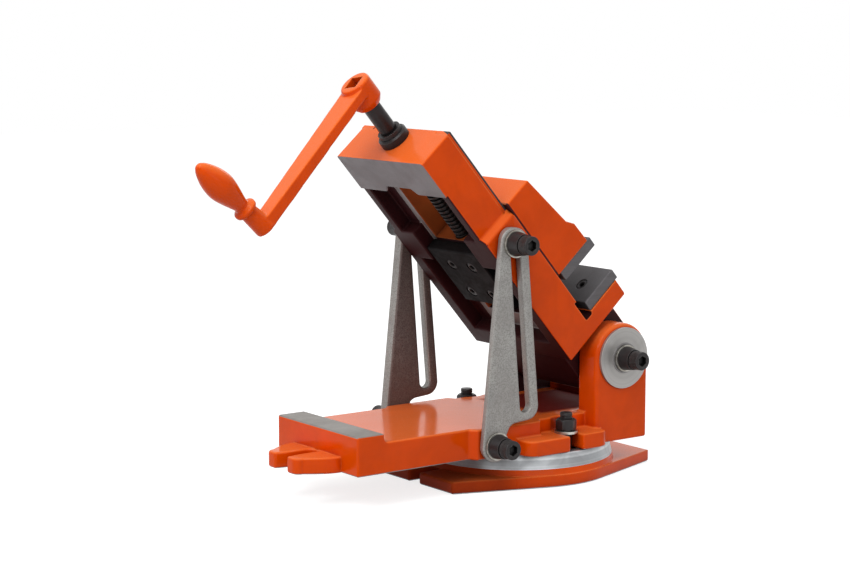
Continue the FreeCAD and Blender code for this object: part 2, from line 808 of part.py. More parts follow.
def strut_feet():
    """Bolts in the platform's bosses that the struts swing on."""
    names = ("strut_foot_washers", "strut_foot_collars", "strut_foot_bolts")
    grip = "strut_thickness + bolt_grip - 2"
    for (item, rise), name in zip(shouldered_bolt("strut_foot", grip), names):
        place(item, f"vector(foot_x; -(strut_outer + face_gap / 2 + {rise}); foot_z)", NEAR_SIDE)
        pair(name, item)


def strut(name, side):
    """Flat cast strut: a web that narrows to the top, a long slot, and a slim bar behind the slot.

    Drawn from its foot bolt, with the slot along the sketch's Y axis.
    """
    plate = new_body(name)
    shape = new_sketch(plate, "XZ_Plane")
    right = "strut_slot_offset + strut_slot_width / 2 + strut_bar"
    head = "lock_travel"
    head_radius = "(strut_slot_width / 2 + strut_bar)"
    web_foot = "(strut_slot_foot - strut_slot_width / 2 - strut_web_foot)"
    outline(shape, [
        ("-strut_foot_radius", "0", "strut_foot_radius", 1),
        ("0", "-strut_foot_radius", "strut_foot_radius", 1),
        ("strut_foot_radius * cos(30)", "strut_foot_radius * sin(30)"),
        ("strut_foot_radius + 2", "strut_foot_radius * 0.9", "strut_crook", -1),
        ("strut_foot_radius + 12", web_foot),
        (f"{right} - strut_crook", web_foot, "strut_crook", 1),
        (right, f"{web_foot} + strut_crook"),
        (right, head, head_radius, 1),
        ("strut_slot_offset", f"{head} + {head_radius}", head_radius, 1),
        ("strut_slot_offset - strut_head_left + 1", f"{head} + 5"),
        ("-strut_waist", "strut_waist_height"),
    ])
    pad(plate, shape, "strut_thickness", symmetric=True)
    slot = new_sketch(plate, "XZ_Plane")
    across = "strut_slot_width / 2"
    top = f"{head} + strut_slot_spare"
    outline(slot, [
        (f"strut_slot_offset - {across}", "strut_slot_foot", HALF_CIRCLE, 1),
        (f"strut_slot_offset + {across}", "strut_slot_foot"),
        (f"strut_slot_offset + {across}", top, HALF_CIRCLE, 1),
        (f"strut_slot_offset - {across}", top),
    ])
    pocket(plate, slot, "strut_thickness + 2", symmetric=True)
    hole = new_sketch(plate, "XZ_Plane")
    circle_outline(hole, "0", "0", "bolt_radius + running_gap")
    pocket(plate, hole, "strut_thickness + 2", symmetric=True)
    height = f"{side} * (strut_inner + strut_thickness / 2)"
    place(plate, f"vector(foot_x; {height}; foot_z)", "rotation(vector(0; 1; 0); strut_lean)")
    return keep(plate, name)


def strut_lock(prefix, side, turn):
    """Lock bolt that rides in one strut's slot, with its washer and collar."""
    parts = shouldered_bolt(prefix, "strut_thickness - face_gap")
    for (item, rise), kind in zip(parts, ("washer", "collar", "bolt")):
        height = f"{side} * (strut_outer + face_gap / 2 + {rise})"
        place(item, f"vector(foot_x + lock_x; {height}; foot_z + lock_z)", turn)
        keep(item, f"{prefix}_lock_{kind}")


def vise_body():
    """Main casting of the vise: two rails with a slot between them, the fixed jaw and the knuckle."""
    body = new_body("vise_body")
    body_plan(body)
    body_hollows(body)
    body_holes(body)
    place_on_vise(body)
    return keep(body, "vise_body")


def body_plan(body):
    """Rails that widen at the strut pads, the fixed jaw block and the hinge knuckle."""
    rails = new_sketch(body, "XY_Plane", "-body_floor")
    mirrored_outline(rails, [
        ("-body_rear", "jaw_half"),
        ("-strut_pad_front", "jaw_half"),
        ("-strut_pad_front - strut_pad_ramp", "body_half"),
        ("-body_front", "body_half"),
    ])
    pad(body, rails, "body_floor - way_top")
    block = new_sketch(body, "XZ_Plane")
    box_outline(block, "-block_front", "-relief_floor - 8", "-body_rear", "block_top")
    pad(body, block, "jaw_width", symmetric=True)
    knuckle = new_sketch(body, "XZ_Plane")
    outline(knuckle, [
        ("-body_rear - 2", "-knuckle_radius"),
        ("0", "-knuckle_radius", HALF_CIRCLE, 1),
        ("0", "knuckle_radius"),
        ("-body_rear - 2", "knuckle_radius"),
    ])
    pad(body, knuckle, "knuckle_width", symmetric=True)
    relief = new_sketch(body, "XZ_Plane")
    outline(relief, [
        ("-relief_front", "-relief_floor"),
        ("-relief_back - relief_round", "-relief_floor", "relief_round", 1),
        ("-relief_back", "-relief_floor + relief_round"),
        ("-relief_back", "relief_top - relief_round", "relief_round", 1),
        ("-relief_back - relief_round", "relief_top"),
        ("-relief_front", "relief_top"),
    ])
    pocket(body, relief, "jaw_width + 2", symmetric=True)


def body_hollows(body):
    """The slot between the ways, the open cavity below it, the rest pad's step and the strip seats."""
    slot = new_sketch(body, "XY_Plane", "0")
    box_outline(slot, "-slot_front", "-slot_half", "-slot_rear", "slot_half")
    pocket(body, slot, "way_depth + 1")
    cavity = new_sketch(body, "XY_Plane", "-body_floor")
    boss_front = "-lock_along - strut_boss_half_length"
    boss_rear = "-lock_along + strut_boss_half_length"
    mirrored_outline(cavity, [
        ("-cavity_rear", "cavity_half"),
        (boss_rear, "cavity_half"),
        (boss_rear, "strut_boss_inner"),
        (boss_front, "strut_boss_inner"),
        (boss_front, "cavity_half"),
        ("-cavity_front", "cavity_half"),
        ("-cavity_front", "cavity_notch_half + 3"),
        ("-cavity_front - cavity_notch", "cavity_notch_half - 3"),
    ])
    pocket(body, cavity, "body_floor - way_depth", reverse=True)
    step = new_sketch(body, "XY_Plane", "-body_floor")
    box_outline(step, "-cavity_front", "-jaw_half - 1", "-body_rear + 1", "jaw_half + 1")
    pocket(body, step, "pad_relief", reverse=True)
    seats = new_sketch(body, "XY_Plane", "0")
    for low, high in (("body_half - strip_width", "body_half"), ("-body_half", "-body_half + strip_width")):
        box_outline(seats, "-body_front - 1", low, "-slot_rear", high)
    pocket(body, seats, "strip_floor")


def body_holes(body):
    """Bearings of the lead screw, the pivot bore, and the holes for the locks and the plate."""
    bearing = new_sketch(body, "YZ_Plane", "-body_front - 1")
    circle_outline(bearing, "0", "-screw_below", "screw_radius + running_gap")
    pocket(body, bearing, "body_front - slot_front + 2", reverse=True)
    thrust = new_sketch(body, "YZ_Plane", "-slot_front")
    circle_outline(thrust, "0", "-screw_below", "inner_thrust_radius + face_gap")
    pocket(body, thrust, "inner_thrust_length + face_gap")
    journal = new_sketch(body, "YZ_Plane", "-slot_rear")
    circle_outline(journal, "0", "-screw_below", "screw_journal_radius + running_gap")
    pocket(body, journal, "screw_journal_depth + 1", reverse=True)
    pivot = new_sketch(body, "XZ_Plane")
    circle_outline(pivot, "0", "0", "tilt_shaft_radius + running_gap")
    pocket(body, pivot, "knuckle_width + 2", symmetric=True)
    for side, reverse in (("jaw_half", False), ("-jaw_half", True)):
        lock = new_sketch(body, "XZ_Plane", side)
        circle_outline(lock, "-lock_along", "-lock_below", "bolt_radius - 0.8")
        pocket(body, lock, "lock_hole_depth", reverse=reverse)
    tapped = new_sketch(body, "YZ_Plane", "-block_front")
    for side in ("", "-"):
        circle_outline(tapped, f"{side}plate_screw_spread", "plate_screw_up", "plate_screw_radius + seat_gap")
    pocket(body, tapped, "block_front - body_rear - 4", reverse=True)
    dress(body, "Fillet", "Radius", "body_round", lambda edge: block_rim(edge) or front_corner(edge))


def block_rim(edge):
    """The top edges of the fixed jaw block that run along and across it."""
    box = edge.BoundBox
    level = near(box.ZMin, "block_top") and near(box.ZMax, "block_top")
    return level and box.XMax > value("-block_front + 1")


def front_corner(edge):
    """The upright corners at the crank end and where the rails widen."""
    return straight_along(edge, "z") and edge.BoundBox.XMax < value("-body_front + 1")


def way_strips():
    """Hardened strips let into the outer edges of the ways."""
    for name, side in (("way_strip_near", "-1"), ("way_strip_far", "1")):
        strip = new_body(name)
        section = new_sketch(strip, "YZ_Plane")
        outline(section, [
            ("-strip_width / 2", "0"),
            ("strip_width / 2", "0"),
            ("strip_width / 2", "strip_thickness - 0.5"),
            ("strip_width / 2 - 0.5", "strip_thickness"),
            ("-strip_width / 2 + 0.5", "strip_thickness"),
            ("-strip_width / 2", "strip_thickness - 0.5"),
        ])
        pad(strip, section, "body_front - slot_rear - seat_gap")
        centre = f"{side} * (body_half - strip_width / 2)"
        place_on_vise(strip, "-body_front", centre, "-strip_floor")
        keep(strip, name)


def jaw_plate(name, bottom, top):
    """Ground jaw plate, its thickness halved by its own YZ plane."""
    plate = new_body(name)
    face = new_sketch(plate, "YZ_Plane")
    box_outline(face, "-plate_half", bottom, "plate_half", top)
    pad(plate, face, "plate_thickness", symmetric=True)
    dress(plate, "Chamfer", "Size", "plate_chamfer", lambda edge: True)
    return plate


def drill_plate(plate, mouth, reverse):
    """Cut the two counterbored screw holes from the plate's working face."""
    for radius, depth in (("plate_screw_radius + running_gap", "plate_thickness + 2"),
                          ("plate_screw_head_radius + counterbore_gap", "plate_screw_head_height + 0.5")):
        holes = new_sketch(plate, "YZ_Plane", mouth)
        for side in ("", "-"):
            circle_outline(holes, f"{side}plate_screw_spread", "plate_screw_up", radius)
        pocket(plate, holes, depth, reverse=reverse)


def plate_screws(name):
    screw = socket_screw(f"{name}_one", "plate_screw_radius", "plate_screw_length - plate_screw_head_height",
                         "plate_screw_head_radius", "plate_screw_head_height", "plate_screw_socket", "4")
    return screw


def fixed_jaw_plate():
    centre = "-(block_front + plate_thickness / 2)"
    plate = jaw_plate("fixed_jaw_plate", "fixed_plate_bottom", "fixed_plate_top")
    drill_plate(plate, "-plate_thickness / 2", True)
    place_on_vise(plate, centre)
    keep(plate, "fixed_jaw_plate")
    screw = plate_screws("fixed_plate_screw")
    seat = "-(block_front + plate_thickness - plate_screw_head_height - 0.5)"
    place(screw, f"vector({seat}; -plate_screw_spread; plate_screw_up)", ALONG_FRONT)
    place_on_vise(pair("fixed_plate_screws", screw))


def movable_jaw():
    """Sliding jaw with its tongue between the ways, hollowed below for the nut."""
    jaw = new_body("movable_jaw")
    side = new_sketch(jaw, "XZ_Plane")
    outline(side, [
        ("-jaw_front", "-jaw_floor"),
        ("-jaw_rear", "-jaw_floor"),
        ("-jaw_rear", "jaw_rear_top"),
        ("-jaw_step_rear", "jaw_step_top"),
        ("-jaw_slope_rear", "jaw_slope_top"),
        ("-jaw_front", "jaw_front_top"),
    ])
    pad(jaw, side, "jaw_width", symmetric=True)
    tongue = new_sketch(jaw, "XY_Plane", "-keeper_top")
    box_outline(tongue, "-tongue_front", "-tongue_half", "-tongue_rear", "tongue_half")
    pad(jaw, tongue, "keeper_top - jaw_floor + 1")
    nut = new_sketch(jaw, "XY_Plane", "-keeper_top")
    box_outline(nut, "-nut_front - seat_gap", "-nut_half - seat_gap",
                "-nut_front + nut_length + seat_gap", "nut_half + seat_gap")
    pocket(jaw, nut, "keeper_top - nut_top + seat_gap", reverse=True)
    bore = new_sketch(jaw, "YZ_Plane", "-tongue_front - 1")
    circle_outline(bore, "0", "-screw_below", "screw_radius + 1")
    pocket(jaw, bore, "tongue_front - tongue_rear + 2", reverse=True)
    tapped = new_sketch(jaw, "XY_Plane", "-keeper_top")
    for along in ("-keeper_screw_front", "-keeper_screw_rear"):
        for sign in ("", "-"):
            circle_outline(tapped, along, f"{sign}keeper_screw_spread", "plate_screw_radius + seat_gap")
    pocket(jaw, tapped, "keeper_screw_length - 3", reverse=True)
    plate_holes = new_sketch(jaw, "YZ_Plane", "-jaw_rear")
    for sign in ("", "-"):
        circle_outline(plate_holes, f"{sign}plate_screw_spread", "plate_screw_up",
                       "plate_screw_radius + seat_gap")
    pocket(jaw, plate_holes, "plate_screw_length")
    dress(jaw, "Fillet", "Radius", "body_round", jaw_rim)
    place_on_vise(jaw)
    return keep(jaw, "movable_jaw")


def jaw_rim(edge):
    """The outer edges of the movable jaw's front face, sides and sloping top."""
    box = edge.BoundBox
    on_side = near(abs(box.YMin), "jaw_half")
    upright = straight_along(edge, "z") and on_side and box.XMax < value("-jaw_front + 1")
    across = straight_along(edge, "y") and near(box.ZMin, "jaw_front_top")
    along = on_side and box.YLength < 0.01 and box.XLength > 1
    return upright or across or (along and box.ZMin > value("jaw_front_top - 1"))


def moving_jaw_fittings():
    """Plate of the movable jaw, its screws, the bronze nut and the keeper plate below the ways."""
    centre = "-(jaw_rear - plate_thickness / 2)"
    plate = jaw_plate("movable_jaw_plate", "moving_plate_bottom", "moving_plate_top")
    drill_plate(plate, "plate_thickness / 2", False)
    place_on_vise(plate, centre)
    keep(plate, "movable_jaw_plate")
    screw = plate_screws("moving_plate_screw")
    seat = "-(jaw_rear - plate_thickness + plate_screw_head_height + 0.5)"
    place(screw, f"vector({seat}; -plate_screw_spread; plate_screw_up)", ALONG_REAR)
    place_on_vise(pair("movable_plate_screws", screw))
    nut = new_body("screw_nut")
    block = new_sketch(nut, "XY_Plane", "-keeper_top")
    box_outline(block, "-nut_front", "-nut_half", "-nut_front + nut_length", "nut_half")
    pad(nut, block, "keeper_top - nut_top")
    hole = new_sketch(nut, "YZ_Plane", "-nut_front - 1")
    circle_outline(hole, "0", "-screw_below", "screw_radius + running_gap")
    pocket(nut, hole, "nut_length + 2", reverse=True)
    place_on_vise(nut)
    keep(nut, "screw_nut")
    keeper_plate()


def keeper_plate():
    """Plate under the ways that holds the jaw down, on four socket screws."""
    keeper = new_body("keeper_plate")
    shape = new_sketch(keeper, "XY_Plane", "-keeper_top - keeper_thickness")
    box_outline(shape, "-keeper_front", "-keeper_half", "-keeper_rear", "keeper_half")
    pad(keeper, shape, "keeper_thickness")
    dress(keeper, "Chamfer", "Size", "1",
          lambda edge: near(edge.BoundBox.ZMax, "-keeper_top - keeper_thickness"))
    for radius, depth in (("plate_screw_radius + running_gap", "keeper_thickness + 1"),
                          ("plate_screw_head_radius + counterbore_gap", "plate_screw_head_height + 0.5")):
        holes = new_sketch(keeper, "XY_Plane", "-keeper_top - keeper_thickness")
        for along in ("-keeper_screw_front", "-keeper_screw_rear"):
            for sign in ("", "-"):
                circle_outline(holes, along, f"{sign}keeper_screw_spread", radius)
        pocket(keeper, holes, depth, reverse=True)
    place_on_vise(keeper)
    keep(keeper, "keeper_plate")
    rise = "-keeper_top - keeper_thickness + plate_screw_head_height + 0.5"
    rows = []
    for number, along in enumerate(("-keeper_screw_front", "-keeper_screw_rear"), start=1):
        screw = socket_screw(f"keeper_screw_{number}", "plate_screw_radius", "keeper_screw_length",
                             "plate_screw_head_radius", "plate_screw_head_height", "plate_screw_socket", "4")
        place(screw, f"vector({along}; -keeper_screw_spread; {rise})", DOWN)
        mirror = doc.addObject("Part::Mirroring", f"keeper_screw_{number}_mirror")
        mirror.Source = screw
        mirror.Normal = Vector(0, 1, 0)
        rows += [screw, mirror]
    screws = doc.addObject("Part::Compound", "keeper_screws")
    screws.Links = rows
    place_on_vise(screws)
    keep(screws, "keeper_screws")


def lead_screw():
    """Screw with a square end for the crank, and the two collars that take its thrust."""
    screw = turned("lead_screw", [
        ("0", "-(hub_inner + hub_length - 2)"),
        ("screw_radius", "-(hub_inner + hub_length - 2)"),
        ("screw_radius", "-slot_rear - 6"),
        ("screw_journal_radius", "-slot_rear - 4"),
        ("screw_journal_radius", "-slot_rear + screw_journal_depth"),
        ("0", "-slot_rear + screw_journal_depth"),
    ])
    square = new_sketch(screw, "XY_Plane", "-hub_inner")
    circle_outline(square, "0", "0", "screw_radius + 2")
    box_outline(square, "-screw_square / 2", "-screw_square / 2", "screw_square / 2", "screw_square / 2")
    pocket(screw, square, "hub_length + 1")
    place_on_vise(screw, "0", "0", "-screw_below",
                  f"{ALONG_REAR} * rotation(vector(0; 0; 1); -crank_angle)")
    keep(screw, "lead_screw")
    inner = "screw_radius + seat_gap"
    outer_collar = turned("thrust_collar", [
        (inner, "0"),
        ("thrust_radius", "0"),
        ("thrust_radius", "thrust_length - thrust_chamfer"),
        ("thrust_radius - thrust_chamfer", "thrust_length"),
        ("thrust_step_radius", "thrust_length"),
        ("thrust_step_radius", "thrust_length + thrust_step"),
        (inner, "thrust_length + thrust_step"),
    ])
    place_on_vise(outer_collar, "-(body_front + face_gap)", "0", "-screw_below", ALONG_FRONT)
    keep(outer_collar, "thrust_collar")
    inner_collar = ring("inner_thrust_collar", inner, "inner_thrust_radius", "inner_thrust_length")
    place_on_vise(inner_collar, "-slot_front", "0", "-screw_below", ALONG_FRONT)
    keep(inner_collar, "inner_thrust_collar")


CRANK_TURN = f"{ALONG_FRONT} * rotation(vector(0; 0; 1); crank_angle)"
GRIP_AXIS = "rotation(vector(0; 1; 0); -grip_splay)"


def place_on_crank(item, x="0", z="0", turn=WORLD):
    """Place an object given in the crank's frame: hub axis along Z, arm along -X."""
    base = f"vector(-hub_inner; 0; -screw_below) + {CRANK_TURN} * vector({x}; 0; {z})"
    place(item, f"{PIVOT} + {TILTED} * ({base})", f"{TILTED} * {CRANK_TURN} * {turn}")


def crank():
    """Cast crank: hub with a square socket, tapering arm and the boss that carries the grip."""
    arm = new_body("crank_arm")
    spin(arm, [
        ("0", "0"),
        ("hub_nose_radius", "0"),
        ("hub_radius", "hub_nose"),
        ("hub_radius", "hub_length"),
        ("0", "hub_length"),
    ])
    bar = new_sketch(arm, "XY_Plane", "arm_z")
    tip = "-arm_length"
    outline(bar, [
        ("0", "-arm_width / 2"),
        ("0", "arm_width / 2"),
        (tip, "arm_tip_width / 2", HALF_CIRCLE, 1),
        (tip, "-arm_tip_width / 2"),
    ])
    pad(arm, bar, "arm_thickness")
    wedge = new_sketch(arm, "XZ_Plane")
    outline(wedge, [
        ("-hub_radius / 2", "arm_z - 1"),
        ("-hub_radius / 2", "arm_z + arm_thickness - arm_hub_thickness"),
        ("grip_boss_radius - arm_length", "arm_z"),
        ("grip_boss_radius - arm_length", "arm_z - 1"),
    ])
    pocket(arm, wedge, "arm_width + 2", symmetric=True)
    dress(arm, "Chamfer", "Size", "arm_bevel", arm_edge)
    boss = arm.newObject("PartDesign::AdditiveCone", "grip_boss")
    bind(boss, "Radius1", "grip_boss_radius")
    bind(boss, "Radius2", "grip_boss_top_radius")
    bind(boss, "Height", "grip_boss_length")
    bind(boss, "Placement", f"placement(vector({tip}; 0; boss_z); {GRIP_AXIS})")
    doc.recompute()
    square = new_sketch(arm, "XY_Plane", "hub_length")
    half = "(screw_square / 2 + running_gap)"
    box_outline(square, f"-{half}", f"-{half}", half, half)
    pocket(arm, square, "hub_length")
    hole = arm.newObject("PartDesign::SubtractiveCylinder", "spindle_hole")
    bind(hole, "Radius", "spindle_radius + seat_gap")
    bind(hole, "Height", "grip_boss_length + arm_thickness * 2")
    bind(hole, "Placement", f"placement(vector({tip}; 0; boss_z)"
                            f" + {GRIP_AXIS} * vector(0; 0; -arm_thickness); {GRIP_AXIS})")
    doc.recompute()
    place_on_crank(arm)
    keep(arm, "crank_arm")


def arm_edge(edge):
    """The long edges of the crank's arm and the ends' round rims."""
    box = edge.BoundBox
    on_face = near(box.ZMin, "arm_z") or near(box.ZMin, "arm_z + arm_thickness")
    along = box.XLength > 0.01 and box.XMin < value("-hub_radius - 1")
    return on_face and along and box.XMax < value("-hub_radius / 4")


def belly_side(radius, height, shares):
    """Points of the arc that rises from one end of the grip to its belly, at shares of the way."""
    rise = f"(grip_belly_radius - {radius})"
    reach = f"({height} - grip_belly)"
    arc = f"(({rise} ^ 2 + {reach} ^ 2) / (2 * {rise}))"
    points = []
    for share in shares:
        along = f"({reach} * {1 - share:.2f})"
        points.append((f"grip_belly_radius - {arc} + sqrt({arc} ^ 2 - {along} ^ 2)", f"grip_belly + {along}"))
    return points


def grip():
    """Turned grip, free on the spindle that is fixed in the crank's boss."""
    seat = "grip_boss_length + face_gap"
    handle = turned("crank_grip", [
        ("grip_bore_radius", "0"),
        ("grip_bead_radius - 1.5", "0"),
        ("grip_bead_radius", "grip_bead_length / 3"),
        ("grip_bead_radius", "2 * grip_bead_length / 3"),
        ("grip_bead_radius - 1.5", "grip_bead_length"),
        *belly_side("grip_neck_radius", "grip_neck", (0, 0.2, 0.45, 0.7)),
        *belly_side("grip_nose_radius", "grip_nose", (1, 0.7, 0.45, 0.2, 0)),
        ("grip_tip_radius", "grip_end"),
        ("0", "grip_end"),
        ("0", "grip_bore_depth"),
        ("grip_bore_radius", "grip_bore_depth"),
    ])
    boss_foot = "vector(-arm_length; 0; boss_z)"
    for item, along in ((handle, seat), (spindle(), "0")):
        base = f"{boss_foot} + {GRIP_AXIS} * vector(0; 0; {along})"
        place(item, f"{PIVOT} + {TILTED} * (vector(-hub_inner; 0; -screw_below) + {CRANK_TURN} * ({base}))",
              f"{TILTED} * {CRANK_TURN} * {GRIP_AXIS}")
    keep(handle, "crank_grip")


def spindle():
    """Steel pin through the boss, on which the grip turns."""
    pin = turned("grip_spindle", [
        ("0", "-arm_bevel"),
        ("spindle_radius", "-arm_bevel"),
        ("spindle_radius", "grip_boss_length + grip_bore_depth - 2"),
        ("0", "grip_boss_length + grip_bore_depth - 2"),
    ])
    return keep(pin, "grip_spindle")


def check_model():
    """Stop unless every object is sound and every sub-part is a valid solid."""
    doc.recompute()
    for item in doc.Objects:
        if "Invalid" in item.State or "Error" in item.State:
            raise ValueError(f"{item.Name} ({item.Label}) failed: {item.State}")
    for item in nodes:
        if item.Shape.isNull() or not item.Shape.isValid() or not item.Shape.Solids:
            raise ValueError(f"{item.Label} is not a valid solid")


def export_nodes():
    os.makedirs("parts", exist_ok=True)
    for item in nodes:
        item.Shape.exportStep(os.path.join("parts", f"{item.Label}.step"))
        print(item.Label, len(item.Shape.Solids), round(item.Shape.Volume / 1000, 2))


def build():
    fill_sheet()
    swivel_base()
    centre_pin()
    platform_casting()
    tee_clamps()
    hinge()
    strut_feet()
    strut("near_strut", "-1")
    strut("far_strut", "1")
    strut_lock("near_strut", "-1", NEAR_SIDE)
    strut_lock("far_strut", "1", "rotation(vector(1; 0; 0); -90)")
    vise_body()
    way_strips()
    fixed_jaw_plate()
    movable_jaw()
    moving_jaw_fittings()
    lead_screw()
    crank()
    grip()
    check_model()
    export_nodes()


build()
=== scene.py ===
"""Looks of a swivelling, tilting machine vise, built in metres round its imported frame."""
import logging
import math
from dataclasses import dataclass, replace
from enum import Enum
from typing import Callable, Iterable, Mapping, Sequence

import bmesh
import bpy
from mathutils import Matrix, Vector


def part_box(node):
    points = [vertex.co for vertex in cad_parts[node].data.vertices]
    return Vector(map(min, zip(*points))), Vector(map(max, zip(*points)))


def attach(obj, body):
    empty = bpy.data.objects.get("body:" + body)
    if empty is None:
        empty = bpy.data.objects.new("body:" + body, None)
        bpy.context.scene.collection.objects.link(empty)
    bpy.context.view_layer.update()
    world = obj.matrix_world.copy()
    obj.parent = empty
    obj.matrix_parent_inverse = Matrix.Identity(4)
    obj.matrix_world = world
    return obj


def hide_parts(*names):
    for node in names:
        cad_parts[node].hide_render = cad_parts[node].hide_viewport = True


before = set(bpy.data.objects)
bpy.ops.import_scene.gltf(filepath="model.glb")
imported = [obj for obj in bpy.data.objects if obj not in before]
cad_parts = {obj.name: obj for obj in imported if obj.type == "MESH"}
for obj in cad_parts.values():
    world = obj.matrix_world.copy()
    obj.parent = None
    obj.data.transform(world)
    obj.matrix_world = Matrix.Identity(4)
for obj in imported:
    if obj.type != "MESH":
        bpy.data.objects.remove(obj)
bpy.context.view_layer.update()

MM = 0.001

LOG = logging.getLogger("machine_vise")

Point = tuple[float, float, float]
Colour = tuple[float, float, float]
Profile = Sequence[tuple[float, float]]
Sockets = Mapping[str, bpy.types.NodeSocket]
Picker = Callable[[Vector, Vector], int]
Mover = Callable[[Vector], Vector]
Chooser = Callable[[Vector], bool]

# Least share of a normal along one direction for a face to count as facing it, and as leaning to it.
FACING = 0.9
LEANING = 0.5
# How near, in millimetres, the middle of a face lies to the plane that it belongs to.
ON_PLANE = 0.4


class Slot(Enum):
    """Material slots of the record, by the finish that each one names."""

    ORANGE = "orange_casting"
    BARE = "bare_iron"
    BRIGHT = "bright_steel"
    ZINC = "zinc_steel"
    BLACK = "black_steel"
    HARD = "hardened_steel"
    BRONZE = "bronze"


class Axis(Enum):
    """Directions in which a round piece may point, as turns from +Z."""

    DOWN = Matrix.Rotation(math.pi, 4, "X")
    NEAR = Matrix.Rotation(math.pi / 2, 4, "X")
    FAR = Matrix.Rotation(-math.pi / 2, 4, "X")
    FRONT = Matrix.Rotation(-math.pi / 2, 4, "Y")
    REAR = Matrix.Rotation(math.pi / 2, 4, "Y")


def srgb(red: float, green: float, blue: float) -> Colour:
    """Turn a colour as seen on a screen into linear light.

    Args:
        red: Red share, 0 to 1.
        green: Green share, 0 to 1.
        blue: Blue share, 0 to 1.

    Returns:
        The three linear values.
    """
    def one(share: float) -> float:
        """Linear value of one share."""
        return share / 12.92 if share <= 0.04045 else ((share + 0.055) / 1.055) ** 2.4

    return one(red), one(green), one(blue)


@dataclass(frozen=True)
class Places:
    """Places of the vise, in millimetres, where the scene's own pieces go."""

    pivot_x: float = 72.5
    pivot_z: float = 122.3
    tilt: float = 48.76
    screw_below: float = 18.5
    hub_inner: float = 370.0
    crank_angle: float = 12.4
    arm_length: float = 187.5
    boss_z: float = 15.5
    splay: float = 9.0

    def vise(self, x: float = 0.0, y: float = 0.0, z: float = 0.0) -> Matrix:
        """Matrix of a place given along and above the ways of the tilted vise.

        Args:
            x: Distance from the tilt pivot towards the hinge end.
            y: Distance to the far side.
            z: Height above the ways.

        Returns:
            The matrix from that place to the row frame.
        """
        pivot = Matrix.Translation(Vector((self.pivot_x, 0, self.pivot_z)) * MM)
        turn = Matrix.Rotation(math.radians(self.tilt), 4, "Y")
        return pivot @ turn @ Matrix.Translation(Vector((x, y, z)) * MM)

    def crank(self) -> Matrix:
        """Matrix of the crank: hub axis along +Z away from the vise, arm along -X."""
        hub = self.vise(-self.hub_inner, 0, -self.screw_below)
        return hub @ Axis.FRONT.value @ Matrix.Rotation(math.radians(self.crank_angle), 4, "Z")

    def grip(self) -> Matrix:
        """Matrix of the grip's axis, from its foot in the crank's boss."""
        foot = Matrix.Translation(Vector((-self.arm_length, 0, self.boss_z)) * MM)
        return self.crank() @ foot @ Matrix.Rotation(-math.radians(self.splay), 4, "Y")


PLACES = Places()


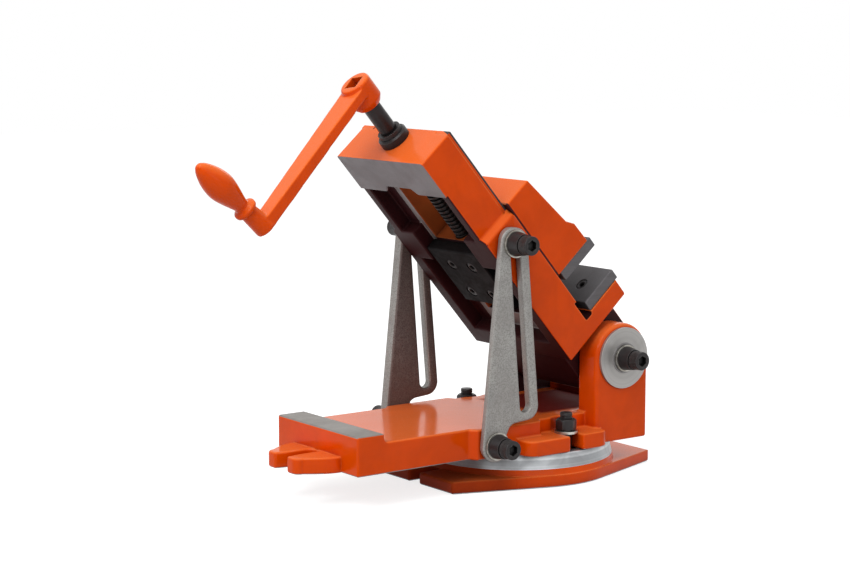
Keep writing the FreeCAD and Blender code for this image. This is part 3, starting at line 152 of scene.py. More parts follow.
class Nodes:
    """Short hand for laying out one node tree."""

    MIX_COLOURS = (6, 7)
    MIX_RESULT = 2

    def __init__(self, tree: bpy.types.NodeTree) -> None:
        """Keep the tree that new nodes go in."""
        self.tree = tree

    def add(self, kind: str, values: dict[str, object] | None = None,
            **settings: object) -> bpy.types.Node:
        """Add a node.

        Args:
            kind: Node type, without the ShaderNode prefix.
            values: Inputs by name: a socket to link from, or a plain value.
            **settings: Properties of the node itself.

        Returns:
            The new node.
        """
        node = self.tree.nodes.new(kind if kind.startswith("Node") else f"ShaderNode{kind}")
        for name, setting in settings.items():
            setattr(node, name, setting)
        for name, value in (values or {}).items():
            self.put(node.inputs[name], value)
        return node

    def put(self, socket: bpy.types.NodeSocket, value: object) -> None:
        """Link a socket to another, or give it a plain value.

        Args:
            socket: Input that takes the value.
            value: Socket to link from, or a number, vector or colour.
        """
        if isinstance(value, bpy.types.NodeSocket):
            self.tree.links.new(value, socket)
        elif isinstance(value, tuple) and socket.type == "RGBA" and len(value) == 3:
            socket.default_value = (*value, 1.0)
        else:
            socket.default_value = value

    def math(self, kind: str, *inputs: object, clamp: bool = False) -> bpy.types.NodeSocket:
        """Result of a Math node.

        Args:
            kind: Operation of the node.
            *inputs: Sockets or numbers, in the order of the node's inputs.
            clamp: Whether the result stays between 0 and 1.

        Returns:
            The socket with the result.
        """
        node = self.add("Math", operation=kind, use_clamp=clamp)
        for socket, value in zip(node.inputs, inputs):
            self.put(socket, value)
        return node.outputs[0]

    def vector(self, kind: str, *inputs: object) -> bpy.types.Node:
        """Vector Math node.

        Args:
            kind: Operation of the node.
            *inputs: Sockets or vectors, in the order of the node's inputs.

        Returns:
            The node, as some operations put out a number and some a vector.
        """
        node = self.add("VectorMath", operation=kind)
        for socket, value in zip(node.inputs, inputs):
            self.put(socket, value)
        return node

    def span(self, value: object, low: float, high: float, to_low: float = 0.0,
             to_high: float = 1.0) -> bpy.types.NodeSocket:
        """Value spread smoothly from one range onto another.

        Args:
            value: Socket or number to spread.
            low: Start of the range that is read.
            high: End of the range that is read.
            to_low: Result at low.
            to_high: Result at high.

        Returns:
            The socket with the result.
        """
        node = self.add("MapRange", interpolation_type="SMOOTHSTEP")
        for index, number in enumerate((value, low, high, to_low, to_high)):
            self.put(node.inputs[index], number)
        return node.outputs[0]

    def mix(self, share: object, first: object, second: object) -> bpy.types.NodeSocket:
        """Colour between two, by a share.

        Args:
            share: Socket or number, 0 for the first colour.
            first: Colour or socket.
            second: Colour or socket.

        Returns:
            The socket with the colour.
        """
        node = self.add("Mix", {0: share}, data_type="RGBA")
        for index, colour in zip(self.MIX_COLOURS, (first, second)):
            self.put(node.inputs[index], colour)
        return node.outputs[self.MIX_RESULT]

    def tint(self, body: object, mask: object, share: float, colour: object) -> bpy.types.NodeSocket:
        """Lay a colour over another where a mask is.

        Args:
            body: Colour or socket below.
            mask: Socket of the mask.
            share: How much of the mask counts.
            colour: Colour or socket above.

        Returns:
            The socket with the colour.
        """
        return self.mix(self.math("MULTIPLY", mask, share), body, colour)

    def noise(self, place: object, scale: object, detail: float = 2.0, rough: float = 0.5,
              warp: float = 0.0) -> bpy.types.NodeSocket:
        """Value of a noise texture.

        Args:
            place: Coordinate socket.
            scale: Features per metre.
            detail: Finer layers.
            rough: Strength of the finer layers.
            warp: Distortion.

        Returns:
            The noise value, about 0.2 to 0.8.
        """
        node = self.add("TexNoise", {"Vector": place, "Scale": scale, "Detail": detail,
                                     "Roughness": rough, "Distortion": warp})
        return node.outputs["Fac"]


class Effects:
    """Effects shared by the finishes, each a shader node group that is built once."""

    SAMPLES = 8
    HOLLOW_REACH = 0.012
    PORES = 420.0
    SPECKS = 900.0
    RAGGED = 60.0

    def __init__(self) -> None:
        """Build every group."""
        height_and_tone = {"Height": "Float", "Tone": "Float"}
        self.soft_edges = self._group("soft_edges", self._soft_edges, {"Radius": 0.0012, "Spread": 0.004},
                                      {"Normal": "Vector", "Edge": "Float", "Hollow Shade": "Float"})
        self.cast_skin = self._group(
            "cast_skin", self._cast_skin, {"Lump Size": 0.006, "Peel Size": 0.0012, "Pits": 0.0},
            height_and_tone)
        self.ground_grain = self._group(
            "ground_grain", self._ground_grain, {"Turn": (0.0, 0.0, 0.0), "Lines": 1400.0},
            height_and_tone)
        self.turned_rings = self._group(
            "turned_rings", self._turned_rings,
            {"Centre": (0.0, 0.0, 0.0), "Across": (1.0, 1.0, 0.0), "Lines": 1600.0}, height_and_tone)
        self.handling = self._group("handling", self._handling, {"Patch Size": 0.04, "Dust": 0.3},
                                    {"Smudge": "Float", "Dust": "Float", "Up": "Float"})
        self.shadow_box = self._group(
            "shadow_box", self._shadow_box, {"Centre": (0.0, 0.0, 0.0), "Half": (1.0, 1.0, 1.0)},
            {"Inside": "Float"})

    @staticmethod
    def _group(name: str, lay_out: Callable[[Nodes, Sockets, Sockets], None],
               inputs: dict[str, object], outputs: dict[str, str]) -> bpy.types.NodeTree:
        """Make a group with named inputs and outputs.

        Args:
            name: Name of the group.
            lay_out: Method that fills it.
            inputs: Input names with their usual values.
            outputs: Output names with their kinds.

        Returns:
            The group's tree.
        """
        tree = bpy.data.node_groups.new(name, "ShaderNodeTree")
        for label, usual in inputs.items():
            kind = "NodeSocketVector" if isinstance(usual, tuple) else "NodeSocketFloat"
            socket = tree.interface.new_socket(label, in_out="INPUT", socket_type=kind)
            socket.default_value = usual
        for label, kind in outputs.items():
            tree.interface.new_socket(label, in_out="OUTPUT", socket_type=f"NodeSocket{kind}")
        nodes = Nodes(tree)
        given = nodes.add("NodeGroupInput").outputs
        made = nodes.add("NodeGroupOutput").inputs
        lay_out(nodes, given, made)
        return tree

    @staticmethod
    def _place(nodes: Nodes) -> bpy.types.NodeSocket:
        """Coordinates that stay with a piece as it moves."""
        return nodes.add("TexCoord").outputs["Object"]

    def _soft_edges(self, nodes: Nodes, given: Sockets, made: Sockets) -> None:
        """Rounded normals along edges, with masks of the edges and of the hollows beside walls; the hollow
        mask, from ambient occlusion, is where the finishes paint shade.

        Args:
            nodes: The group's tree.
            given: The group's inputs.
            made: The group's outputs.
        """
        soft = nodes.add("Bevel", {"Radius": given["Radius"]}, samples=self.SAMPLES)
        wide = nodes.add("Bevel", {"Radius": given["Spread"]}, samples=self.SAMPLES)
        true = nodes.add("NewGeometry").outputs["Normal"]
        bend = nodes.vector("DOT_PRODUCT", wide.outputs[0], true).outputs["Value"]
        off = nodes.math("SUBTRACT", 1.0, bend, clamp=True)
        near = nodes.add("AmbientOcclusion", {"Distance": self.HOLLOW_REACH}, samples=self.SAMPLES)
        hollow_shade = nodes.span(near.outputs["AO"], low=0.35, high=0.95, to_low=1.0, to_high=0.0)
        edge = nodes.span(off, low=0.004, high=0.12)
        nodes.put(made["Normal"], soft.outputs[0])
        nodes.put(made["Edge"], nodes.math("MULTIPLY", edge, nodes.math("SUBTRACT", 1.0, hollow_shade)))
        nodes.put(made["Hollow Shade"], hollow_shade)

    def _cast_skin(self, nodes: Nodes, given: Sockets, made: Sockets) -> None:
        """Lumps, orange peel and pits of a sand casting.

        Args:
            nodes: The group's tree.
            given: The group's inputs.
            made: The group's outputs.
        """
        place = self._place(nodes)
        lumps = nodes.noise(place, nodes.math("DIVIDE", 1.0, given["Lump Size"]), detail=3.0, rough=0.55)
        peel = nodes.noise(place, nodes.math("DIVIDE", 1.0, given["Peel Size"]))
        pores = nodes.add("TexVoronoi", {"Vector": place, "Scale": self.PORES}).outputs["Distance"]
        pitted = nodes.span(pores, low=0.0, high=0.28, to_low=1.0, to_high=0.0)
        pit = nodes.math("MULTIPLY", pitted, given["Pits"])
        height = nodes.math("ADD", nodes.math("MULTIPLY", lumps, 0.75), nodes.math("MULTIPLY", peel, 0.25))
        nodes.put(made["Height"], nodes.math("SUBTRACT", height, pit))
        nodes.put(made["Tone"], nodes.noise(place, scale=24.0, detail=4.0, rough=0.6, warp=0.4))

    def _ground_grain(self, nodes: Nodes, given: Sockets, made: Sockets) -> None:
        """Straight grinding lines along one turned direction.

        Args:
            nodes: The group's tree.
            given: The group's inputs.
            made: The group's outputs.
        """
        turned = nodes.add("Mapping", {"Vector": self._place(nodes), "Rotation": given["Turn"],
                                       "Scale": (0.02, 1.0, 1.0)}).outputs[0]
        fine = nodes.noise(turned, given["Lines"], detail=3.0, rough=0.6)
        broad = nodes.noise(turned, nodes.math("MULTIPLY", given["Lines"], 0.12))
        nodes.put(made["Height"], fine)
        nodes.put(made["Tone"], nodes.math("ADD", nodes.math("MULTIPLY", fine, 0.5),
                                           nodes.math("MULTIPLY", broad, 0.5)))

    def _turned_rings(self, nodes: Nodes, given: Sockets, made: Sockets) -> None:
        """Rings that a lathe leaves round a centre.

        Args:
            nodes: The group's tree.
            given: The group's inputs.
            made: The group's outputs.
        """
        offset = nodes.vector("SUBTRACT", self._place(nodes), given["Centre"]).outputs[0]
        flat = nodes.vector("MULTIPLY", offset, given["Across"]).outputs[0]
        radius = nodes.vector("LENGTH", flat).outputs["Value"]
        rings = nodes.add("TexNoise", {"W": radius, "Scale": given["Lines"], "Detail": 3.0},
                          noise_dimensions="1D").outputs["Fac"]
        broad = nodes.add("TexNoise", {"W": radius, "Scale": 260.0, "Detail": 1.0},
                          noise_dimensions="1D").outputs["Fac"]
        nodes.put(made["Height"], rings)
        nodes.put(made["Tone"], nodes.math("ADD", nodes.math("MULTIPLY", rings, 0.4),
                                           nodes.math("MULTIPLY", broad, 0.6)))

    def _handling(self, nodes: Nodes, given: Sockets, made: Sockets) -> None:
        """Smudges from hands, and dust that settles on what faces up.

        Args:
            nodes: The group's tree.
            given: The group's inputs.
            made: The group's outputs.
        """
        place = self._place(nodes)
        scale = nodes.math("DIVIDE", 1.0, given["Patch Size"])
        cloud = nodes.noise(place, scale, detail=4.0, rough=0.6, warp=0.8)
        smudge = nodes.span(cloud, low=0.35, high=0.7)
        up = nodes.add("SeparateXYZ", {0: nodes.add("NewGeometry").outputs["Normal"]}).outputs["Z"]
        specks = nodes.span(nodes.noise(place, self.SPECKS, rough=0.6), low=0.5, high=0.72)
        settled = nodes.math("MULTIPLY", nodes.span(up, low=0.3, high=1.0), given["Dust"])
        nodes.put(made["Smudge"], smudge)
        nodes.put(made["Dust"], nodes.math("MULTIPLY", settled, specks))
        nodes.put(made["Up"], nodes.span(up, low=0.15, high=0.85))

    def _shadow_box(self, nodes: Nodes, given: Sockets, made: Sockets) -> None:
        """Mask of a box of painted shadow, with a ragged soft border.

        Args:
            nodes: The group's tree.
            given: The group's inputs.
            made: The group's outputs.
        """
        offset = nodes.vector("SUBTRACT", self._place(nodes), given["Centre"]).outputs[0]
        away = nodes.vector("ABSOLUTE", offset).outputs[0]
        share = nodes.vector("DIVIDE", away, given["Half"]).outputs[0]
        parts = nodes.add("SeparateXYZ", {0: share}).outputs
        reach = nodes.math("MAXIMUM", parts[0], nodes.math("MAXIMUM", parts[1], parts[2]))
        frayed = nodes.noise(self._place(nodes), self.RAGGED, detail=3.0, rough=0.6)
        border = nodes.math("ADD", reach, nodes.math("MULTIPLY", frayed, 0.06))
        nodes.put(made["Inside"], nodes.span(border, low=0.84, high=1.14, to_low=1.0, to_high=0.0))


EFFECTS = Effects()


@dataclass(frozen=True)
class Finish:
    """What every finish has: a name, the record's slot, the shader's steady values and its wear."""

    name: str
    slot: Slot
    colour: Colour
    roughness: float = 0.4
    metallic: float = 0.0
    bump: float = 0.05
    edge_radius: float = 0.6
    edge_spread: float = 2.5
    specular: float = 0.5
    patch: float = 40.0
    edge_share: float = 0.6
    edge_gain: float = 1.3
    hollow_shade_share: float = 0.6
    smudge_rough: float = 0.12

    def material(self) -> bpy.types.Material:
        """Make the finish's material, the first time that it is asked for.

        Returns:
            The material.
        """
        made = bpy.data.materials.get(self.name)
        if made is None:
            made = bpy.data.materials.new(self.name)
            made.use_nodes = True
            made.diffuse_color = (*self.colour, 1.0)
            made.metallic = self.metallic
            made.node_tree.nodes.clear()
            nodes = Nodes(made.node_tree)
            shader = nodes.add("BsdfPrincipled", {"Metallic": self.metallic,
                                                  "Specular IOR Level": self.specular})
            output = nodes.add("OutputMaterial", {"Surface": shader.outputs[0]})
            output.is_active_output = True
            self.paint(nodes, shader)
        return made

    def edges(self, nodes: Nodes) -> bpy.types.Node:
        """The group that softens and masks edges, with this finish's sizes."""
        sizes = {"Radius": self.edge_radius * MM, "Spread": self.edge_spread * MM}
        return self.group(nodes, EFFECTS.soft_edges, sizes)

    @staticmethod
    def group(nodes: Nodes, tree: bpy.types.NodeTree, values: dict[str, object]) -> bpy.types.Node:
        """Place a shared effect in a finish's material.

        Args:
            nodes: The material's tree.
            tree: The effect.
            values: The effect's inputs by name, with their values.

        Returns:
            The group node.
        """
        node = nodes.add("Group")
        node.node_tree = tree
        for name, value in values.items():
            nodes.put(node.inputs[name], value)
        return node

    def hands(self, nodes: Nodes, dust: float = 0.0) -> Sockets:
        """The masks of smudges and dust, in patches of this finish's size."""
        values = {"Patch Size": self.patch * MM, "Dust": dust}
        return self.group(nodes, EFFECTS.handling, values).outputs

    def worn(self, light: Colour) -> Colour:
        """The light colour as it is on a rubbed edge."""
        return tuple(min(1.0, one * self.edge_gain) for one in light)

    def relief(self, nodes: Nodes, shader: bpy.types.Node, height: object, normal: object) -> None:
        """Raise the surface by a height.

        Args:
            nodes: The material's tree.
            shader: Shader that takes the raised normal.
            height: Socket of the height; its full value stands for the finish's bump.
            normal: Socket of the normal before that.
        """
        bump = nodes.add("Bump", {"Strength": 1.0, "Distance": self.bump * MM, "Height": height,
                                  "Normal": normal})
        nodes.put(shader.inputs["Normal"], bump.outputs[0])

    def paint(self, nodes: Nodes, shader: bpy.types.Node) -> None:
        """Lay out the nodes that feed the shader; each kind of finish has its own."""
        raise NotImplementedError


@dataclass(frozen=True)
class Enamel(Finish):
    """Gloss enamel brushed over a filled casting."""

    deep: Colour = (0.5, 0.06, 0.01)
    # Lighter colour on edges: thinner paint there, and partly a painted highlight.
    thin_and_highlight: Colour = (0.9, 0.3, 0.08)
    # film is a lighter colour on faces that point up: a painted light.
    film: Colour = (0.9, 0.25, 0.08)
    top_light_share: float = 0.0
    # Painted shadow: inside the shade box the colour goes over to this shade.
    shade: Colour = (0.03, 0.006, 0.006)
    shade_centre: Point = (0.0, 0.0, -9.0)
    shade_half: Point = (1.0, 1.0, 1.0)
    shade_share: float = 1.0
    lump: float = 9.0
    peel: float = 1.3
    dust: float = 0.35
    dust_colour: Colour = srgb(0.9, 0.72, 0.6)
    dust_share: float = 0.35
    dust_rough: float = 0.15
    shade_rough: float = 0.55
    deep_share: float = 0.22
    patch: float = 50.0
    edge_share: float = 0.55
    smudge_rough: float = 0.08

    def paint(self, nodes: Nodes, shader: bpy.types.Node) -> None:
        """Colour with painted shade in hollows, lighter on edges from thinner paint and a painted highlight,
        and a painted light on upward faces, on a skin with a slight peel.

        Args:
            nodes: The material's tree.
            shader: The shader that the nodes feed.
        """
        edges = self.edges(nodes)
        skin = self.group(nodes, EFFECTS.cast_skin,
                          {"Lump Size": self.lump * MM, "Peel Size": self.peel * MM})
        hands = self.hands(nodes, self.dust)
        tone = nodes.span(skin.outputs["Tone"], low=0.3, high=0.7)
        keep = 1 - self.deep_share
        drift = tuple(keep * one + self.deep_share * other for one, other in zip(self.colour, self.deep))
        body = nodes.mix(tone, drift, self.colour)
        # Edges lighter: thinner paint, and partly a painted highlight.
        body = nodes.tint(body, edges.outputs["Edge"], self.edge_share, self.thin_and_highlight)
        # Painted shade: the deep colour laid into the hollows.
        body = nodes.tint(body, edges.outputs["Hollow Shade"], self.hollow_shade_share, self.deep)
        # Painted light: faces that point up take the lighter film colour.
        body = nodes.tint(body, hands["Up"], self.top_light_share, self.film)
        body = nodes.tint(body, hands["Dust"], self.dust_share, self.dust_colour)
        # Painted shadow: the shade colour inside the shade box.
        inside = self.group(nodes, EFFECTS.shadow_box,
                            {"Centre": self.shade_centre, "Half": self.shade_half}).outputs["Inside"]
        inside = nodes.math("MULTIPLY", inside, self.shade_share)
        body = nodes.mix(inside, body, self.shade)
        nodes.put(shader.inputs["Base Color"], body)
        rough = nodes.math("ADD", self.roughness, nodes.math("MULTIPLY", hands["Smudge"], self.smudge_rough))
        rough = nodes.math("ADD", rough, nodes.math("MULTIPLY", hands["Dust"], self.dust_rough))
        rough = nodes.math("ADD", rough, nodes.math("MULTIPLY", inside, self.shade_rough), clamp=True)
        nodes.put(shader.inputs["Roughness"], rough)
        self.relief(nodes, shader, skin.outputs["Height"], edges.outputs["Normal"])


@dataclass(frozen=True)
class Machined(Finish):
    """Steel or iron with grinding lines in one direction."""

    light: Colour = (0.6, 0.6, 0.6)
    turn: Point = (0.0, 0.0, 0.0)
    lines: float = 1400.0
    stain_and_shade: Colour = (0.12, 0.1, 0.09)
    stains: float = 0.25
    grain_rough: float = 0.12
    patch: float = 35.0
    edge_share: float = 0.7
    edge_gain: float = 1.35
    hollow_shade_share: float = 0.55

    def paint(self, nodes: Nodes, shader: bpy.types.Node) -> None:
        """Grinding lines, brighter worn edges, a thin stain of old oil in patches and painted shade in the
        hollows.

        Args:
            nodes: The material's tree.
            shader: The shader that the nodes feed.
        """
        edges = self.edges(nodes)
        grain = self.group(nodes, EFFECTS.ground_grain, {"Turn": self.turn, "Lines": self.lines})
        smudge = self.hands(nodes)["Smudge"]
        tone = nodes.span(grain.outputs["Tone"], low=0.35, high=0.65)
        body = nodes.mix(tone, self.colour, self.light)
        body = nodes.tint(body, smudge, self.stains, self.stain_and_shade)
        # Painted shade: the stain colour laid into the hollows.
        body = nodes.tint(body, edges.outputs["Hollow Shade"], self.hollow_shade_share, self.stain_and_shade)
        body = nodes.tint(body, edges.outputs["Edge"], self.edge_share, self.worn(self.light))
        nodes.put(shader.inputs["Base Color"], body)
        rough = nodes.math("ADD", self.roughness, nodes.math("MULTIPLY", tone, self.grain_rough))
        rough = nodes.math("ADD", rough, nodes.math("MULTIPLY", smudge, self.smudge_rough))
        nodes.put(shader.inputs["Roughness"], rough)
        self.relief(nodes, shader, grain.outputs["Height"], edges.outputs["Normal"])


@dataclass(frozen=True)
class Turned(Finish):
    """Metal faced on a lathe, with rings round a centre."""

    light: Colour = (0.7, 0.7, 0.7)
    centre: Point = (0.0, 0.0, 0.0)
    across: Point = (1.0, 1.0, 0.0)
    lines: float = 1600.0
    stains: float = 0.2
    stain_and_shade_depth: float = 0.35
    patch: float = 30.0
    smudge_rough: float = 0.14

    def paint(self, nodes: Nodes, shader: bpy.types.Node) -> None:
        """Rings, smudges, brighter edges and painted shade in the hollows.

        Args:
            nodes: The material's tree.
            shader: The shader that the nodes feed.
        """
        edges = self.edges(nodes)
        rings = self.group(nodes, EFFECTS.turned_rings,
                           {"Centre": self.centre, "Across": self.across, "Lines": self.lines})
        smudge = self.hands(nodes)["Smudge"]
        tone = nodes.span(rings.outputs["Tone"], low=0.35, high=0.65)
        body = nodes.mix(tone, self.colour, self.light)
        dark = tuple(one * self.stain_and_shade_depth for one in self.colour)
        body = nodes.tint(body, smudge, self.stains, dark)
        # Painted shade: the darkened colour laid into the hollows.
        body = nodes.tint(body, edges.outputs["Hollow Shade"], self.hollow_shade_share, dark)
        body = nodes.tint(body, edges.outputs["Edge"], self.edge_share, self.worn(self.light))
        nodes.put(shader.inputs["Base Color"], body)
        rough = nodes.math("ADD", self.roughness, nodes.math("MULTIPLY", smudge, self.smudge_rough))
        nodes.put(shader.inputs["Roughness"], rough)
        self.relief(nodes, shader, rings.outputs["Height"], edges.outputs["Normal"])


@dataclass(frozen=True)
class RawCast(Finish):
    """Sand-cast iron left unpainted under a film of oil."""

    light: Colour = (0.5, 0.48, 0.45)
    dark: Colour = (0.1, 0.09, 0.08)
    rust: Colour = (0.2, 0.1, 0.05)
    lump: float = 2.6
    peel: float = 0.9
    pits: float = 0.5
    rust_share: float = 0.22
    patch_rough: float = -0.1
    patch: float = 20.0
    edge_share: float = 0.65
    edge_gain: float = 1.5
    hollow_shade_share: float = 0.5

    def paint(self, nodes: Nodes, shader: bpy.types.Node) -> None:
        """Mottled grey with pits, brushed edges, a little brown in patches and painted shade in the hollows.

        Args:
            nodes: The material's tree.
            shader: The shader that the nodes feed.
        """
        edges = self.edges(nodes)
        skin = self.group(nodes, EFFECTS.cast_skin, {
            "Lump Size": self.lump * MM, "Peel Size": self.peel * MM, "Pits": self.pits})
        tone = nodes.span(skin.outputs["Tone"], low=0.3, high=0.7)
        body = nodes.mix(tone, self.colour, self.light)
        patch = nodes.span(skin.outputs["Height"], low=0.3, high=0.62)
        body = nodes.mix(patch, self.dark, body)
        body = nodes.tint(body, self.hands(nodes)["Smudge"], self.rust_share, self.rust)
        # Painted shade: the dark colour laid into the hollows.
        body = nodes.tint(body, edges.outputs["Hollow Shade"], self.hollow_shade_share, self.dark)
        body = nodes.tint(body, edges.outputs["Edge"], self.edge_share, self.worn(self.light))
        nodes.put(shader.inputs["Base Color"], body)
        rough = nodes.math("ADD", self.roughness, nodes.math("MULTIPLY", patch, self.patch_rough))
        nodes.put(shader.inputs["Roughness"], rough)
        self.relief(nodes, shader, skin.outputs["Height"], edges.outputs["Normal"])


@dataclass(frozen=True)
class Oxide(Finish):
    """Blackened steel with a faint rub on its edges."""

    rub: Colour = (0.16, 0.155, 0.15)
    brown: Colour = (0.05, 0.035, 0.03)
    brown_share: float = 0.6
    lump: float = 2.0
    peel: float = 0.5
    dust: float = 0.25
    dust_colour: Colour = srgb(0.5, 0.47, 0.44)
    dust_share: float = 0.35
    shade_black: Colour = (0.002, 0.002, 0.002)
    patch: float = 12.0
    hollow_shade_share: float = 0.85
    smudge_rough: float = 0.15

    def paint(self, nodes: Nodes, shader: bpy.types.Node) -> None:
        """Blue-black film, browner in patches, rubbed on edges, with painted shade near black in the hollows.

        Args:
            nodes: The material's tree.
            shader: The shader that the nodes feed.
        """
        edges = self.edges(nodes)
        skin = self.group(nodes, EFFECTS.cast_skin,
                          {"Lump Size": self.lump * MM, "Peel Size": self.peel * MM})
        hands = self.hands(nodes, self.dust)
        body = nodes.tint(self.colour, hands["Smudge"], self.brown_share, self.brown)
        body = nodes.tint(body, edges.outputs["Edge"], self.edge_share, self.rub)
        body = nodes.tint(body, hands["Dust"], self.dust_share, self.dust_colour)
        # Painted shade: near black in the hollows.
        body = nodes.tint(body, edges.outputs["Hollow Shade"], self.hollow_shade_share, self.shade_black)
        nodes.put(shader.inputs["Base Color"], body)
        rough = nodes.math("ADD", self.roughness, nodes.math("MULTIPLY", hands["Smudge"], self.smudge_rough))
        nodes.put(shader.inputs["Roughness"], rough)
        self.relief(nodes, shader, skin.outputs["Height"], edges.outputs["Normal"])


TILT_TURN: Point = (0.0, -math.radians(PLACES.tilt), 0.0)
PIVOT: Point = (PLACES.pivot_x * MM, 0.0, PLACES.pivot_z * MM)

ORANGE = Enamel("orange_enamel", Slot.ORANGE, srgb(0.9, 0.3, 0.0), roughness=0.12, bump=0.035,
                edge_radius=1.2, edge_spread=3.0, specular=0.1, deep=srgb(0.62, 0.17, 0.02),
                thin_and_highlight=srgb(0.97, 0.5, 0.24), film=srgb(0.97, 0.49, 0.22), top_light_share=0.6)
# Painted shadow on the deck under the tilted body, between the ears.
PLATFORM_ORANGE = replace(ORANGE, name="platform_enamel", shade=srgb(0.4, 0.08, 0.05),
                          shade_centre=(0.05, 0.0, 0.09), shade_half=(0.058, 0.052, 0.03))
STRIP_PAINT = replace(ORANGE, name="strip_enamel", edge_radius=0.1, edge_spread=0.3)
# Painted shadow on the front of the flange, under the platform.
BASE_ORANGE = replace(ORANGE, name="base_enamel", shade=srgb(0.3, 0.1, 0.04), shade_centre=(-0.16, 0.0, 0.0),
                      shade_half=(0.09, 0.3, 0.1), shade_share=0.6)
# Painted shade: the orange enamel darkened for undersides, hollows, the jaw's lower lip and faces in the
# body's shadow.
UNDERSIDE_SHADE = Enamel("underside_painted_shade", Slot.ORANGE, srgb(0.2, 0.065, 0.075), roughness=0.5, bump=0.12,
                   edge_radius=1.2, edge_spread=3.0, specular=0.12, deep=srgb(0.1, 0.03, 0.04),
                   thin_and_highlight=srgb(0.3, 0.12, 0.1), lump=7.0, dust=0.1)
# Painted shade: the orange enamel darkened for the slot walls and the front of the jaw's tongue.
INNER_SHADE = Enamel("slot_wall_painted_shade", Slot.ORANGE, srgb(0.62, 0.3, 0.13), roughness=0.45, bump=0.05,
               specular=0.15, deep=srgb(0.3, 0.12, 0.06), thin_and_highlight=srgb(0.7, 0.4, 0.2), dust=0.1)
PAD_STEEL = Machined("ground_pads", Slot.BARE, srgb(0.52, 0.5, 0.48), roughness=0.42, metallic=0.45,
                     bump=0.004, light=srgb(0.6, 0.58, 0.56), turn=(0.0, 0.0, math.pi / 2), stains=0.15)
VISE_PAD = Machined("ground_vise_underside", Slot.BARE, srgb(0.45, 0.43, 0.44), roughness=0.5, metallic=0.3,
                    bump=0.004, light=srgb(0.5, 0.48, 0.49), turn=TILT_TURN, stains=0.1)
SLOT_STEEL = Machined("ground_slot_edges", Slot.BARE, srgb(0.5, 0.48, 0.48), roughness=0.4, metallic=0.3,
                      bump=0.004, light=srgb(0.58, 0.56, 0.56), turn=TILT_TURN, stains=0.2)
TURNTABLE = Turned("turned_neck", Slot.BARE, srgb(0.62, 0.63, 0.64), roughness=0.3, metallic=0.85,
                   bump=0.012, light=srgb(0.82, 0.83, 0.84), across=(1.0, 1.0, 0.0), stains=0.3)
DISC_FACE = Turned("turned_disc", Slot.BRIGHT, srgb(0.62, 0.61, 0.6), roughness=0.38, metallic=0.55,
                   bump=0.006, light=srgb(0.66, 0.65, 0.64), centre=PIVOT, across=(1.0, 0.0, 1.0),
                   stains=0.1)
DISC_BOSS = replace(DISC_FACE, name="turned_disc_boss", colour=srgb(0.46, 0.45, 0.45),
                    light=srgb(0.54, 0.53, 0.53))
CAST_STRUT = RawCast("cast_strut", Slot.BARE, srgb(0.58, 0.57, 0.56), roughness=0.5, metallic=0.3, bump=0.28,
                     light=srgb(0.66, 0.655, 0.64), dark=srgb(0.5, 0.49, 0.475), rust=srgb(0.53, 0.5, 0.48),
                     edge_radius=1.5, edge_spread=2.0, lump=1.3, pits=0.35)
# Painted shade with a painted orange reflection, for the struts' sides that face the vise.
SHADED_STRUT = replace(CAST_STRUT, name="cast_strut_painted_shade", colour=srgb(0.42, 0.37, 0.355),
                      light=srgb(0.48, 0.435, 0.42), dark=srgb(0.34, 0.285, 0.27),
                      rust=srgb(0.38, 0.3, 0.275))
JAW_STEEL = Machined("hardened_jaw_steel", Slot.HARD, srgb(0.33, 0.32, 0.33), roughness=0.4, metallic=0.6,
                     bump=0.003, light=srgb(0.38, 0.37, 0.38), turn=TILT_TURN, stains=0.2, edge_spread=1.0)
WAY_STEEL = Machined("hardened_way_steel", Slot.HARD, srgb(0.14, 0.115, 0.115), roughness=0.4, metallic=0.2,
                     bump=0.004, light=srgb(0.21, 0.18, 0.18), turn=TILT_TURN, stains=0.35, edge_spread=0.6,
                     specular=0.3)
SHAFT_STEEL = Turned("bright_shaft_steel", Slot.BRIGHT, srgb(0.6, 0.6, 0.6), roughness=0.25, metallic=0.9,
                     bump=0.006, light=srgb(0.78, 0.78, 0.78), centre=PIVOT, across=(1.0, 0.0, 1.0))
WASHER_ZINC = Turned("zinc_washers", Slot.ZINC, srgb(0.62, 0.6, 0.56), roughness=0.28, metallic=0.9,
                     bump=0.004, light=srgb(0.8, 0.79, 0.76), across=(1.0, 0.0, 1.0), edge_radius=0.3,
                     edge_spread=0.8)
# Black oxide, darkened further as painted shade for the keeper plate under the body.
KEEPER_SHADED = Oxide("keeper_oxide_shaded", Slot.BLACK, srgb(0.06, 0.048, 0.055), roughness=0.6, bump=0.01, specular=0.1,
               edge_radius=0.35, edge_spread=0.9, rub=srgb(0.19, 0.18, 0.18), brown=srgb(0.055, 0.04, 0.04))
BLACK = Oxide("black_oxide", Slot.BLACK, srgb(0.15, 0.135, 0.14), roughness=0.36, bump=0.01, specular=0.3,
              edge_radius=0.35, edge_spread=0.9, rub=srgb(0.4, 0.39, 0.38), brown=srgb(0.11, 0.085, 0.085))
SCREW_STEEL = Oxide("oiled_screw_steel", Slot.BLACK, srgb(0.16, 0.135, 0.14), roughness=0.3, metallic=0.4,
                    bump=0.008, specular=0.3, edge_radius=0.25, edge_spread=0.6, rub=srgb(0.42, 0.4, 0.38),
                    brown=srgb(0.13, 0.1, 0.09))
NUT_BRONZE = Turned("nut_bronze", Slot.BRONZE, srgb(0.55, 0.38, 0.18), roughness=0.35, metallic=0.9,
                    bump=0.01, light=srgb(0.7, 0.5, 0.25), across=(0.0, 1.0, 1.0))


